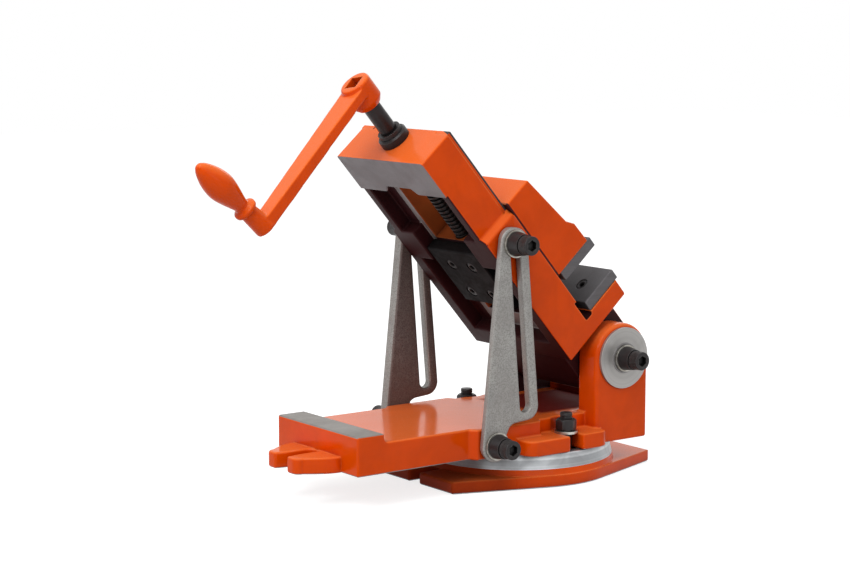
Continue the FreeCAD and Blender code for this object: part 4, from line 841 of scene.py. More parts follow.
class Maker:
    """Mesh work that the sub-assemblies share."""

    SMOOTH_ANGLE = math.radians(32)
    ROUND_ANGLE = math.radians(30)
    ROOM_SHARE = 0.42
    LEAST_WEIGHT = 0.02
    SMOOTH_TURN = 0.82
    FLAT_ANGLE = math.radians(0.8)
    SAME_POINT = 2e-6
    TINY = 1e-6
    BEVEL_STEPS = 3
    FACE_WEIGHT = 100

    @staticmethod
    def add(name: str, mesh: bpy.types.Mesh, body: str, finishes: Sequence[Finish],
            stands_for: Iterable[str] = ()) -> bpy.types.Object:
        """Put a finished mesh in the scene and hang it on its body.

        Args:
            name: Name of the piece.
            mesh: Its mesh, in the row frame.
            body: Body that it moves with.
            finishes: Its finishes, in the order of the mesh's material indices.
            stands_for: CAD nodes that it replaces.

        Returns:
            The new object.
        """
        piece = bpy.data.objects.new(name, mesh)
        bpy.context.scene.collection.objects.link(piece)
        for finish in finishes:
            mesh.materials.append(finish.material())
        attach(piece, body)
        if stands_for:
            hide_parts(*stands_for)
        LOG.info("made %s: %d faces on %s", name, len(mesh.polygons), body)
        return piece

    @classmethod
    def mesh(cls, name: str, work: bmesh.types.BMesh, matrix: Matrix | None = None) -> bpy.types.Mesh:
        """Turn worked geometry into a mesh that shades smoothly between its crisp edges.

        Args:
            name: Name of the mesh.
            work: Geometry, freed here.
            matrix: Where the geometry goes in the row frame.

        Returns:
            The mesh.
        """
        if matrix is not None:
            bmesh.ops.transform(work, matrix=matrix, verts=work.verts)
        bmesh.ops.recalc_face_normals(work, faces=work.faces)
        made = bpy.data.meshes.new(name)
        work.to_mesh(made)
        work.free()
        made.shade_smooth()
        made.set_sharp_from_angle(angle=cls.SMOOTH_ANGLE)
        return made

    @staticmethod
    def lathe(work: bmesh.types.BMesh, profile: Profile, segments: int = 64,
              matrix: Matrix = Matrix.Identity(4)) -> None:
        """Turn a profile of (radius, height) in millimetres round +Z.

        Args:
            work: Geometry that the turned shape is added to.
            profile: Points of the profile; a closed one ends where it starts.
            segments: Steps round the axis.
            matrix: Where the axis lies.
        """
        rows: list[list[bmesh.types.BMVert]] = []
        for radius, height in profile:
            if radius < Maker.TINY:
                rows.append([work.verts.new(matrix @ (Vector((0, 0, height)) * MM))])
                continue
            row = []
            for step in range(segments):
                angle = 2 * math.pi * step / segments
                point = Vector((radius * math.cos(angle), radius * math.sin(angle), height)) * MM
                row.append(work.verts.new(matrix @ point))
            rows.append(row)
        for first, second in zip(rows, rows[1:]):
            for step in range(segments):
                after = (step + 1) % segments
                corners = [first[step % len(first)], first[after % len(first)],
                           second[after % len(second)], second[step % len(second)]]
                unique = list(dict.fromkeys(corners))
                if len(unique) > 2:
                    work.faces.new(unique)

    @classmethod
    def prism(cls, work: bmesh.types.BMesh, sections: Sequence[Sequence[Vector]],
              caps: bool = True) -> None:
        """Join sections of equal numbers of points into a skin.

        Args:
            work: Geometry that the skin is added to.
            sections: The sections in order, each with its points in metres.
            caps: Whether the first and the last section are closed.
        """
        rows = [[work.verts.new(point) for point in section] for section in sections]
        for first, second in zip(rows, rows[1:]):
            for step in range(len(first)):
                after = (step + 1) % len(first)
                work.faces.new([first[step], first[after], second[after], second[step]])
        if caps:
            work.faces.new(rows[0][::-1])
            work.faces.new(rows[-1])

    @staticmethod
    def ring_of(flats: float, corner_radius: float, sides: int, steps: int, height: float,
                turn: float = 0.0) -> list[Vector]:
        """Points round a polygon whose corners are cut to a circle.

        Args:
            flats: Distance of the flats from the axis.
            corner_radius: Radius that the corners are cut to.
            sides: Number of flats.
            steps: Points round the whole ring.
            height: Height of the ring.
            turn: Turn of the flats.

        Returns:
            The points, in millimetres.
        """
        points = []
        for step in range(steps):
            angle = 2 * math.pi * step / steps
            sector = math.pi / sides
            within = (angle - turn + sector) % (2 * sector) - sector
            reach = min(flats / math.cos(within), corner_radius)
            points.append(Vector((reach * math.cos(angle), reach * math.sin(angle), height)))
        return points

    @classmethod
    def dress(cls, node: str, finishes: Sequence[Finish], pick: Picker | None = None) -> bpy.types.Object:
        """Give a CAD node its finishes, and its faces the one that each takes.

        Args:
            node: Name of the CAD node.
            finishes: The finishes.
            pick: Which finish a face takes, from its middle and its normal.

        Returns:
            The node's object.
        """
        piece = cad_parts[node]
        mesh = piece.data
        mesh.materials.clear()
        for finish in finishes:
            mesh.materials.append(finish.material())
        for face in mesh.polygons:
            face.material_index = pick(face.center, face.normal) if pick else 0
        LOG.info("dressed %s in %s", node, ", ".join(finish.name for finish in finishes))
        return piece

    @classmethod
    def rounded(cls, node: str, finishes: Sequence[Finish], width: float, body: str,
                pick: Picker | None = None, move: Mover | None = None, crisp: Chooser | None = None,
                cuts: Sequence[tuple[Vector, Vector, Chooser]] = ()) -> bpy.types.Object:
        """A copy of a CAD node with its sharp edges rounded, that stands for the node.

        Args:
            node: Name of the CAD node.
            finishes: The finishes.
            width: Width of the rounding, in millimetres; each edge takes as much as it has room for.
            body: Body that it moves with.
            pick: Which finish a face takes.
            move: Where a point of the copy goes.
            crisp: Whether an edge at a point stays as it is.
            cuts: Planes, each a point and a normal, that part the faces which the third entry chooses.

        Returns:
            The new piece.
        """
        work = bmesh.new()
        work.from_mesh(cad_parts[node].data)
        bmesh.ops.remove_doubles(work, verts=work.verts, dist=cls.SAME_POINT)
        bmesh.ops.dissolve_limit(work, angle_limit=cls.FLAT_ANGLE, use_dissolve_boundaries=False,
                                 verts=work.verts, edges=work.edges, delimit={"NORMAL"})
        for point, normal, chosen in cuts:
            faces = [face for face in work.faces if chosen(face.calc_center_median())]
            edges = {edge for face in faces for edge in face.edges}
            corners = {corner for face in faces for corner in face.verts}
            bmesh.ops.bisect_plane(work, geom=[*corners, *edges, *faces], plane_co=point, plane_no=normal,
                                   dist=cls.TINY)
        if move:
            for corner in work.verts:
                corner.co = move(corner.co)
        work.normal_update()
        for face in work.faces:
            face.material_index = pick(face.calc_center_median(), face.normal) if pick else 0
        cls.weigh_edges(work, width * MM, crisp)
        bmesh.ops.triangulate(work, faces=[face for face in work.faces if len(face.verts) > 4],
                              ngon_method="BEAUTY")
        mesh = bpy.data.meshes.new(f"{node}_rounded")
        work.to_mesh(mesh)
        work.free()
        if "custom_normal" in mesh.attributes:
            mesh.attributes.remove(mesh.attributes["custom_normal"])
        piece = cls.add(f"{node}_shaped", mesh, body, finishes, [node])
        if not width:
            return piece
        bevel = piece.modifiers.new("rounded_edges", "BEVEL")
        bevel.width = width * MM
        bevel.segments = cls.BEVEL_STEPS
        bevel.limit_method = "WEIGHT"
        bevel.use_clamp_overlap = False
        bevel.loop_slide = False
        even = piece.modifiers.new("flat_faces", "WEIGHTED_NORMAL")
        even.keep_sharp = True
        even.weight = cls.FACE_WEIGHT
        return piece

    @classmethod
    def weigh_edges(cls, work: bmesh.types.BMesh, width: float, crisp: Chooser | None) -> None:
        """Give each sharp edge as much of the rounding as the faces beside it have room for.

        Args:
            work: Geometry of the copy.
            width: Full width of the rounding, in metres; none leaves every edge sharp.
            crisp: Whether an edge at a point stays as it is.
        """
        layer = work.edges.layers.float.new("bevel_weight_edge")
        work.edges.index_update()
        for face in work.faces:
            face.smooth = True
        for edge in work.edges:
            edge.smooth = len(edge.link_faces) == 2 and edge.calc_face_angle(0.0) < cls.ROUND_ANGLE
            if edge.smooth or len(edge.link_faces) != 2:
                continue
            middle = (edge.verts[0].co + edge.verts[1].co) / 2
            if not width or (crisp and crisp(middle)):
                continue
            line = edge.verts[1].co - edge.verts[0].co
            half = line.length / 2
            line.normalize()
            room = width / cls.ROOM_SHARE
            for face in edge.link_faces:
                inward = face.normal.cross(line)
                loop = next(one for one in face.loops if one.edge is edge)
                if loop.vert is edge.verts[1]:
                    inward.negate()
                for corner in face.verts:
                    if corner in edge.verts:
                        continue
                    offset = corner.co - middle
                    depth = offset.dot(inward)
                    if depth > cls.TINY and abs(offset.dot(line)) <= half + depth:
                        room = min(room, depth)
            edge[layer] = min(1.0, cls.ROOM_SHARE * room / width)
        rounded = {edge.index: edge for edge in work.edges if edge[layer] > 0}
        while rounded:
            run = cls.smooth_run(rounded.pop(next(iter(rounded))), rounded)
            least = min(edge[layer] for edge in run)
            for edge in run:
                edge[layer] = least
                edge.smooth = least > cls.LEAST_WEIGHT

    @classmethod
    def smooth_run(cls, first: bmesh.types.BMEdge,
                   others: dict[int, bmesh.types.BMEdge]) -> list[bmesh.types.BMEdge]:
        """Edges that carry on smoothly from one, taken out of the others: they share one width.

        Args:
            first: Edge to start from.
            others: Rounded edges that aren't in a run yet, by their indices.

        Returns:
            The run, the first edge included.
        """
        run, open_ends = [first], [(first, corner) for corner in first.verts]
        while open_ends:
            edge, corner = open_ends.pop()
            line = (corner.co - edge.other_vert(corner).co).normalized()
            for other in corner.link_edges:
                far = other.other_vert(corner)
                if other.index in others and (far.co - corner.co).normalized().dot(line) > cls.SMOOTH_TURN:
                    others.pop(other.index)
                    run.append(other)
                    open_ends.append((other, far))
        return run


def on_vise(point: Vector) -> Vector:
    """A point of the row frame, in millimetres along, across and above the ways."""
    return PLACES.vise().inverted() @ point / MM


def along_vise(direction: Vector) -> Vector:
    """A direction of the row frame, seen along, across and above the ways."""
    return PLACES.vise().to_3x3().inverted() @ direction


@dataclass
class SocketScrew:
    """A socket-head cap screw, its seat under the head at height zero and the shank below."""

    shank: float = 6.0
    length: float = 28.0
    head: float = 9.6
    height: float = 12.0
    flats: float = 10.0
    depth: float = 6.0
    knurls: int = 48
    groove: float = 0.22
    tip: float = 0.8
    rim: float = 0.5
    knurl_low: float = 1.8
    knurl_high: float = 2.0
    plain_low: float = 1.6
    plain_high: float = 1.8
    crown: Profile = ((0.0, 0.7), (0.25, 0.25), (0.9, 0.0))
    mouth: Profile = ((0.35, 0.0), (0.1, 0.25))
    socket_from: float = 0.5
    drill: Profile = ((0.5, 0.4), (0.12, 1.2))

    def build(self, work: bmesh.types.BMesh, matrix: Matrix) -> None:
        """Add the screw: knurled head with its hexagonal socket, and the shank.

        The crown's points are given by inset from the head and drop from its top, the mouth's by
        distance from the socket's corners and drop, the drill point's by share of the socket's half
        width and depth below its floor.

        Args:
            work: Geometry that it is added to.
            matrix: Place of the seat, +Z out through the head.
        """
        steps = self.knurls * 4
        top, floor = self.height, self.height - self.depth

        def circle(radius: float, height: float, groove: float = 0.0) -> list[Vector]:
            """Ring of points, grooved where the knurl is.

            Args:
                radius: Radius of the ring.
                height: Height of the ring.
                groove: Depth of the knurl's grooves.

            Returns:
                The points, in millimetres.
            """
            points = []
            for step in range(steps):
                angle = 2 * math.pi * step / steps
                reach = radius - (groove if step % 4 in (0, 3) else 0.0)
                points.append(Vector((reach * math.cos(angle), reach * math.sin(angle), height)))
            return points

        half = self.flats / 2
        corner = half / math.cos(math.pi / 6)
        rows = [
            circle(self.shank - self.tip, -self.length), circle(self.shank, -self.length + self.tip),
            circle(self.shank, 0), circle(self.head - self.rim, 0), circle(self.head, self.rim),
            circle(self.head, self.plain_low), circle(self.head, self.knurl_low, self.groove),
            circle(self.head, top - self.knurl_high, self.groove), circle(self.head, top - self.plain_high),
            *(circle(self.head - inset, top - drop) for inset, drop in self.crown),
            *(circle(corner + outset, top - drop) for outset, drop in self.mouth),
            Maker.ring_of(half, corner, 6, steps, top - self.socket_from),
            Maker.ring_of(half, corner, 6, steps, floor),
            *(circle(half * share, floor - drop) for share, drop in self.drill),
        ]
        Maker.prism(work, [[matrix @ (point * MM) for point in row] for row in rows])


SMALL_SCREW = SocketScrew(shank=4.0, length=20.0, head=6.5, height=8.0, flats=6.0, depth=4.0, knurls=36)
# Share of a screw head's radius beyond which only the head itself has points.
NEAR_RIM = 0.9


@dataclass
class Thread:
    """A threaded rod along +Z, whose thread fades out at both ends."""

    major: float = 9.0
    minor: float = 6.6
    pitch: float = 5.0
    start: float = 0.0
    stop: float = 100.0
    left_hand: bool = False
    segments: int = 48
    crest: float = 0.36
    rows_per_turn: int = 12

    def radius(self, height: float, angle: float) -> float:
        """Radius of the thread's surface.

        Args:
            height: Height of the point.
            angle: Its angle round the axis.

        Returns:
            The radius, in millimetres.
        """
        hand = -1.0 if self.left_hand else 1.0
        phase = (height / self.pitch - hand * angle / (2 * math.pi)) % 1.0
        flank = (1.0 - 2 * self.crest) / 2
        depth = self.major - self.minor
        if phase < self.crest:
            return self.major
        if phase < self.crest + flank:
            return self.major - depth * (phase - self.crest) / flank
        if phase < 2 * self.crest + flank:
            return self.minor
        return self.minor + depth * (phase - 2 * self.crest - flank) / flank

    def rows(self) -> list[list[Vector]]:
        """Rings of points up the rod.

        Returns:
            The rings in order, in millimetres.
        """
        step = self.pitch / self.rows_per_turn
        count = max(2, round((self.stop - self.start) / step))
        made = []
        for index in range(count + 1):
            height = self.start + (self.stop - self.start) * index / count
            fade = min(1.0, min(height - self.start, self.stop - height) / self.pitch)
            ring = []
            for turn in range(self.segments):
                angle = 2 * math.pi * turn / self.segments
                reach = self.major + (self.radius(height, angle) - self.major) * max(0.0, fade)
                ring.append(Vector((reach * math.cos(angle), reach * math.sin(angle), height)))
            made.append(ring)
        return made


@dataclass
class SwivelBase:
    """Flanged round base that bolts to the machine's table."""

    body: str = "base"
    flange: float = 13.0
    neck: float = 99.0
    step: float = 5.9
    film: float = 0.2
    rounding: float = 3.0

    def build(self) -> None:
        """Dress the base and its centre pin."""
        def pick(middle: Vector, normal: Vector) -> int:
            """Orange flange, bare turned neck and bottom.

            Args:
                middle: Middle of the face.
                normal: Direction that it faces.

            Returns:
                Index of its finish.
            """
            height = middle.z / MM
            radius = math.hypot(middle.x, middle.y) / MM
            above = height - self.flange
            if above > self.step or (above > self.film and radius < self.neck):
                return 1
            return 1 if normal.z < -FACING and height < ON_PLANE else 0

        Maker.rounded("swivel_base", [BASE_ORANGE, TURNTABLE], self.rounding, self.body, pick)
        Maker.dress("centre_pin", [SHAFT_STEEL])


@dataclass
class Platform:
    """Swivelling platform with its deck, rest pad, ears, lugs and clamp bolts."""

    LUG_ROOT = 0.1

    body: str = "platform"
    rest_top: float = 74.1
    rest_back: float = -200.0
    floor: float = 34.5
    bore: float = 15.0
    ear_inner: float = 60.0
    deck_top: float = 65.8
    front: float = 251.2
    lug_length: float = 42.0
    lug_half: float = 26.0
    lug_root_half: float = 43.0
    lug_corner: float = 8.0
    lug_narrowing: float = 15.0
    lug_bulge: float = 1.8
    lug_skin: float = 0.6
    lug_cuts: tuple[float, ...] = (20.0, 24.0, 28.0, 31.5)
    slot_half: float = 5.0
    slot_flare: float = 3.0
    slot_flare_from: float = 22.0
    web_back: float = 107.5
    web_depth: float = 9.0
    web_height: float = 6.6
    web_sunk: float = 0.5
    web_soft: float = 1.6
    web_cut: float = 0.5
    web_tuck: float = 0.2
    rounding: float = 2.4
    stud_radius: float = 6.5
    stud_pitch: float = 1.75
    stud_top: float = 72.0
    stud_sunk: float = 3.0
    stud_groove: float = 1.0
    stud_dome: float = 1.8
    dome: Profile = ((0.97, 1.2), (0.88, 0.6), (0.66, 0.2), (0.3, 0.0))
    bolt_circle: float = 84.0
    nut_flats: float = 19.0
    nut_bore: float = 6.45
    nut_mouth: float = 7.3
    nut_face: float = 0.94
    nut_height: float = 12.3
    nut_seat: float = 53.3
    disc_boss: float = 16.3

    def build(self) -> None:
        """Build and dress the platform's own pieces."""
        self.casting()
        self.clamps()
        self.hinge()

    def casting(self) -> None:
        """Orange casting with the bare rest pad, underside and bores, and painted shade on the ears' inner
        faces.
        """
        def pick(middle: Vector, normal: Vector) -> int:
            """Bare on the pad's top, the sliding underside and inside the ears' bores; painted shade on the
            ears' inner faces above the deck.

            Args:
                middle: Middle of the face.
                normal: Direction that it faces.

            Returns:
                Index of its finish.
            """
            x, y, z = middle / MM
            if normal.z > FACING and z > self.rest_top - ON_PLANE and x < self.rest_back:
                return 1
            if normal.z < -FACING and z < self.floor + ON_PLANE:
                return 1
            near_axis = math.hypot(x - PLACES.pivot_x, z - PLACES.pivot_z) < self.bore
            if near_axis and abs(y) > self.ear_inner - ON_PLANE and abs(normal.y) < LEANING:
                return 1
            # Painted shade on the ears' inner faces above the deck.
            on_inner = abs(abs(y) - self.ear_inner) < ON_PLANE and y * normal.y < 0
            return 2 if on_inner and z > self.deck_top else 0

        cuts = [(Vector((-(self.front + station) * MM, 0, 0)), Vector((1, 0, 0)), self.on_front_lug)
                for station in self.lug_cuts]
        Maker.rounded("platform_casting", [PLATFORM_ORANGE, PAD_STEEL, UNDERSIDE_SHADE], self.rounding, self.body,
                      pick, move=self.shape_lug, cuts=cuts)
        self.web()

    def on_front_lug(self, point: Vector) -> bool:
        """Whether a point is on the front lug."""
        return point.x / MM < -self.front - self.LUG_ROOT

    def shape_lug(self, point: Vector) -> Vector:
        """Swell the front lug's outer sides and open its slot towards the tip.

        Args:
            point: Point of the casting, in metres.

        Returns:
            Where it goes.
        """
        x, y, z = point / MM
        out = -x - self.front
        if out < self.LUG_ROOT:
            return point.copy()
        half, sweep, corner = self.lug_half, self.lug_root_half - self.lug_half, self.lug_corner
        round_from = self.lug_length - corner
        along = min(out, round_from) / round_from
        swollen = self.lug_root_half - self.lug_narrowing * along ** self.lug_bulge
        if out < sweep:
            side = self.lug_root_half - math.sqrt(sweep ** 2 - (sweep - out) ** 2)
        elif out < round_from:
            side = half
        else:
            side = half - corner + math.sqrt(max(0.0, corner ** 2 - (out - round_from) ** 2))
        across = abs(y)
        if across > side - self.lug_skin:
            across += swollen - (side if out < round_from else half)
        elif across > self.slot_half and out > self.slot_flare_from:
            reach = (out - self.slot_flare_from) / (self.lug_length - self.slot_flare_from)
            across += self.slot_flare * reach ** 2
        return Vector((x, math.copysign(across, y), z)) * MM

    def web(self) -> None:
        """Low rib between the ears at the rear of the deck."""
        back, front, soft = self.web_back, self.web_back - self.web_depth, self.web_soft
        low, high = self.deck_top - self.web_sunk, self.deck_top + self.web_height
        cut = self.web_cut
        section = [(front, low), (back, low), (back, high - soft), (back - cut, high - cut),
                   (back - soft, high), (front + soft, high), (front + cut, high - cut),
                   (front, high - soft)]
        half = self.ear_inner + self.web_tuck
        work = bmesh.new()
        Maker.prism(work, [[Vector((x, y, z)) * MM for x, z in section] for y in (-half, half)])
        Maker.add("rear_web", Maker.mesh("rear_web", work), self.body, [PLATFORM_ORANGE])

    def clamps(self) -> None:
        """Threaded tee bolts with chamfered nuts and bright washers."""
        studs, nuts = bmesh.new(), bmesh.new()
        for side in (-1, 1):
            place = Matrix.Translation(Vector((0, side * self.bolt_circle, 0)) * MM)
            self.stud(studs, place)
            self.nut(nuts, place)
        Maker.add("clamp_nuts", Maker.mesh("clamp_nuts", nuts), self.body, [BLACK], ["tee_nuts"])
        Maker.add("clamp_studs", Maker.mesh("clamp_studs", studs), self.body, [BLACK])
        Maker.dress("tee_bolts", [BLACK])
        Maker.dress("tee_washers", [WASHER_ZINC])

    def stud(self, work: bmesh.types.BMesh, place: Matrix) -> None:
        """Add one threaded stud end that stands over the CAD bolt's plain one.

        Args:
            work: Geometry that it is added to.
            place: Place of the bolt, +Z up.
        """
        bottom = self.nut_seat + self.nut_height - self.stud_sunk
        rod = Thread(self.stud_radius, self.stud_radius - self.stud_groove, self.stud_pitch, bottom,
                     self.stud_top - self.stud_dome, segments=32, crest=0.12)
        rows = rod.rows()
        domes = [[Vector((p.x * share, p.y * share, self.stud_top - drop)) for p in rows[-1]]
                 for share, drop in self.dome]
        Maker.prism(work, [[place @ (p * MM) for p in row] for row in (*rows, *domes)])

    def nut(self, work: bmesh.types.BMesh, place: Matrix) -> None:
        """Add one hexagonal nut, chamfered on both faces, with its tapped hole.

        Args:
            work: Geometry that it is added to.
            place: Place of the bolt, +Z up.
        """
        half, steps = self.nut_flats / 2, 96
        corner = half / math.cos(math.pi / 6)
        low, high = self.nut_seat, self.nut_seat + self.nut_height
        bore, mouth, face = self.nut_bore, self.nut_mouth, half * self.nut_face
        outline = (
            (bore, bore, 3, low + 1.2), (mouth, mouth, 3, low + 0.2), (face, face, 6, low + 0.05),
            (half, half + 0.1, 6, low + 0.5), (half, corner - 0.1, 6, low + 1.6),
            (half, corner - 0.1, 6, high - 1.6), (half, half + 0.1, 6, high - 0.5),
            (face, face, 6, high - 0.02), (mouth, mouth, 3, high - 0.02), (bore, bore, 3, high - 1.2),
            (bore, bore, 3, low + 1.2))
        rows = [Maker.ring_of(flats, radius, sides, steps, height)
                for flats, radius, sides, height in outline]
        Maker.prism(work, [[place @ (p * MM) for p in row] for row in rows], caps=False)

    def hinge(self) -> None:
        """Tilt shaft, ground discs, washers, collars and socket screws of the hinge and strut feet."""
        Maker.dress("tilt_shaft", [SHAFT_STEEL])
        Maker.dress("pivot_discs", [DISC_FACE, DISC_BOSS], lambda middle, normal: int(
            math.hypot(middle.x - PIVOT[0], middle.z - PIVOT[2]) < self.disc_boss * MM))
        for node in ("pivot_washers", "strut_foot_washers"):
            Maker.dress(node, [WASHER_ZINC])
        for node in ("pivot_collars", "strut_foot_collars"):
            Maker.dress(node, [BLACK])
        side_screws("pivot_bolts", self.body)
        side_screws("strut_foot_bolts", self.body)


def side_screws(node: str, body: str) -> bpy.types.Object:
    """Detailed socket screws in place of a CAD node of one or two bolts along Y.

    Args:
        node: CAD node of the bolts.
        body: Body that they move with.

    Returns:
        The piece.
    """
    low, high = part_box(node)
    pattern = SocketScrew()
    middle = (low + high) / 2
    work = bmesh.new()
    reach = max(abs(low.y), abs(high.y)) / MM
    sides = (-1, 1) if low.y * high.y < 0 else (1 if low.y > 0 else -1,)
    for side in sides:
        axis = Axis.FAR if side > 0 else Axis.NEAR
        seat = Vector((middle.x, side * (reach - pattern.height) * MM, middle.z))
        pattern.build(work, Matrix.Translation(seat) @ axis.value)
    return Maker.add(f"{node}_detailed", Maker.mesh(node, work), body, [BLACK], [node])


@dataclass
class Struts:
    """Two slotted cast struts that hold the tilt, each with its upper lock."""

    sides: tuple[str, str] = ("near", "far")
    rounding: float = 2.4
    slot_wall: float = 33.7
    waist: tuple[float, float] = (-12.5, 24.0)
    head_edge: float = 20.5
    slot_offset: float = 40.0
    inner_face: float = 73.6
    thickness: float = 10.0
    wall_skin: float = 3.0
    shift_foot: float = 1.6
    shift_web: float = 2.9
    shift_inner: float = 3.4
    shift_rise: tuple[float, float] = (5.0, 60.0)
    head_drop: float = 1.2
    head_below: float = 6.0
    head_above: float = 17.0

    def place(self) -> tuple[Matrix, float]:
        """Find where the struts stand.

        Returns:
            The place of their feet, +Z along their slots, and the height of the locks above it.
        """
        middles = [sum(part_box(node), Vector()) / 2 for node in ("near_strut_lock_bolt", "strut_foot_bolts")]
        x, z = ((middles[0] - middles[1]) / MM).xz
        lean = math.atan2(x, z) - math.asin(self.slot_offset / math.hypot(x, z))
        foot = Matrix.Translation(Vector((middles[1].x, 0, middles[1].z))) @ Matrix.Rotation(lean, 4, "Y")
        return foot, math.sqrt(x ** 2 + z ** 2 - self.slot_offset ** 2)

    def slimmer(self) -> Mover:
        """Movement of the web's front edge towards the slot, more so on the inner face.

        Returns:
            A function from a point of a strut to its new place.
        """
        place, lock = self.place()
        back = place.inverted()
        waist_x, waist_z = self.waist
        wall = self.slot_wall - self.wall_skin
        wall_step = self.slot_offset + self.wall_skin - self.slot_wall

        def share(value: float, low: float, high: float) -> float:
            """How far a value has come from low to high."""
            return min(1.0, max(0.0, (value - low) / (high - low)))

        def move(point: Vector) -> Vector:
            """Where a point of a strut goes.

            Args:
                point: The point, in metres.

            Returns:
                Its new place.
            """
            x, y, z = back @ point / MM
            edge = waist_x + (self.head_edge - waist_x) * share(z, waist_z, lock)
            still = wall + wall_step * share(z, lock - self.head_below, lock)
            inner = (self.inner_face + self.thickness - abs(y)) / self.thickness
            most = self.shift_foot + self.shift_web * share(z, *self.shift_rise) + self.shift_inner * inner
            shift = most * share(still - x, 0.0, still - edge)
            lower = self.head_drop * share(z, lock + self.head_below, lock + self.head_above)
            return place @ (Vector((x + shift, y, z - lower)) * MM)

        return move

    def build(self) -> None:
        """Dress both struts, whose sides that face the vise take a painted shade with a painted orange
        reflection, and their locks.
        """
        def pick(middle: Vector, normal: Vector) -> int:
            """Painted shade on the side that faces the vise."""
            return 1 if normal.y * math.copysign(1.0, middle.y) < -LEANING else 0

        move = self.slimmer()
        for side in self.sides:
            Maker.rounded(f"{side}_strut", [CAST_STRUT, SHADED_STRUT], self.rounding,
                          f"{side}_strut_arm", pick, move=move)
            lock = f"{side}_strut_lock"
            Maker.dress(f"{lock}_washer", [WASHER_ZINC])
            Maker.dress(f"{lock}_collar", [BLACK])
            side_screws(f"{lock}_bolt", lock)


@dataclass
class ViseBody:
    """Tilting body with its ways and the fixed jaw."""

    UPWARD = 0.3

    body: str = "vise"
    floor: float = -48.0
    half: float = 73.5
    slot_half: float = 36.5
    slot_depth: float = 30.0
    ground_width: float = 9.0
    rounding: float = 1.8
    strip_line: float = 2.3
    strip_inner: float = 8.0
    strip_seat: float = -6.2
    dark_corner: tuple[float, float] = (12.0, 4.4)
    front_end: float = -322.5
    relief: tuple[float, float, float, float] = (-84.7, -59.2, -5.0, 6.2)
    slot_from: float = -31.0
    underside: tuple[float, float] = (2.0, -4.0)
    knuckle: tuple[float, float, float] = (61.0, -66.0, 5.0)
    cavity: tuple[float, float, float, float] = (63.0, -322.0, -60.0, -6.0)

    def build(self) -> None:
        """Build and dress the body, its way strips and the fixed jaw's plate."""
        self.casting()
        self.way_strips()
        Maker.dress("fixed_jaw_plate", [JAW_STEEL])
        plate_screws("fixed_plate_screws", self.body)

    def casting(self) -> None:
        """Orange outside, painted shade below, inside and on the slot walls, ground pad and ground slot
        edges.
        """
        def pick(middle: Vector, normal: Vector) -> int:
            """Ground front pad, painted shade in the hollows, below and on the slot walls, and bare sliding
            faces.

            Args:
                middle: Middle of the face.
                normal: Direction that it faces.

            Returns:
                Index of its finish.
            """
            x, y, z = on_vise(middle)
            facing = along_vise(normal)
            if z < self.floor + ON_PLANE and facing.z < -FACING:
                return 2
            if self.in_relief(x, z):
                return 1
            if abs(abs(y) - self.slot_half) < ON_PLANE and y * facing.y < 0 and z > self.slot_from:
                return 3
            if abs(z + self.slot_depth) < ON_PLANE and abs(y) < self.slot_half + self.ground_width:
                return 4
            inset, below = self.underside
            if abs(y) < self.half - inset and z < below and facing.z < -LEANING:
                return 1
            half, start, top = self.knuckle
            if abs(y) < half and x > start and z < top and facing.z < self.UPWARD:
                return 1
            half, start, stop, top = self.cavity
            return 1 if abs(y) < half and start < x < stop and z < top else 0

        def crisp(middle: Vector) -> bool:
            """Edges of the strips' seats and of the relief stay sharp."""
            x, y, z = on_vise(middle)
            return (x < self.relief[0] + 1 and z > self.strip_seat) or self.in_relief(x, z)

        across = PLACES.vise().to_3x3() @ Vector((0, 1, 0))
        cuts = [(PLACES.vise(0, side * (self.slot_half + self.ground_width), 0).translation, across,
                 lambda middle: abs(on_vise(middle).z + self.slot_depth) < ON_PLANE) for side in (-1, 1)]
        Maker.rounded("vise_body", [ORANGE, UNDERSIDE_SHADE, VISE_PAD, INNER_SHADE, SLOT_STEEL], self.rounding, self.body,
                      pick, crisp=crisp, cuts=cuts)

    def in_relief(self, x: float, z: float) -> bool:
        """Whether a place on the vise is in the relief below the fixed jaw."""
        front, back, low, high = self.relief
        return front < x < back and low < z < high

    def way_strips(self) -> None:
        """Hardened strips whose outer sides are painted over below a thin bare line."""
        for node in ("way_strip_near", "way_strip_far"):
            top = max(on_vise(vertex.co).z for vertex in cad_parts[node].data.vertices)
            line = top - self.strip_line
            wide, deep = self.dark_corner
            corner = Vector((0.0, wide - self.half, top))
            slant = Vector((0.0, deep, -wide)).normalized()

            def pick(middle: Vector, normal: Vector) -> int:
                """Painted on the outer side below the line and on the end, but for its dark corner.

                Args:
                    middle: Middle of the face.
                    normal: Direction that it faces.

                Returns:
                    Index of its finish.
                """
                x, y, z = on_vise(middle)
                facing = along_vise(normal)
                if facing.x < -FACING:
                    return 0 if slant.dot(Vector((x, y, z)) - corner) < 0 else 1
                outer = abs(facing.y) > FACING and abs(y) > self.half - self.strip_inner
                return 1 if outer and z < line else 0

            turn = PLACES.vise().to_3x3()
            cuts = [(PLACES.vise(0, 0, line).translation, turn @ Vector((0, 0, 1)), lambda middle: True),
                    (PLACES.vise(*corner).translation, turn @ slant,
                     lambda middle: on_vise(middle).x < self.front_end)]
            Maker.rounded(node, [WAY_STEEL, STRIP_PAINT], 0.0, self.body, pick, cuts=cuts)


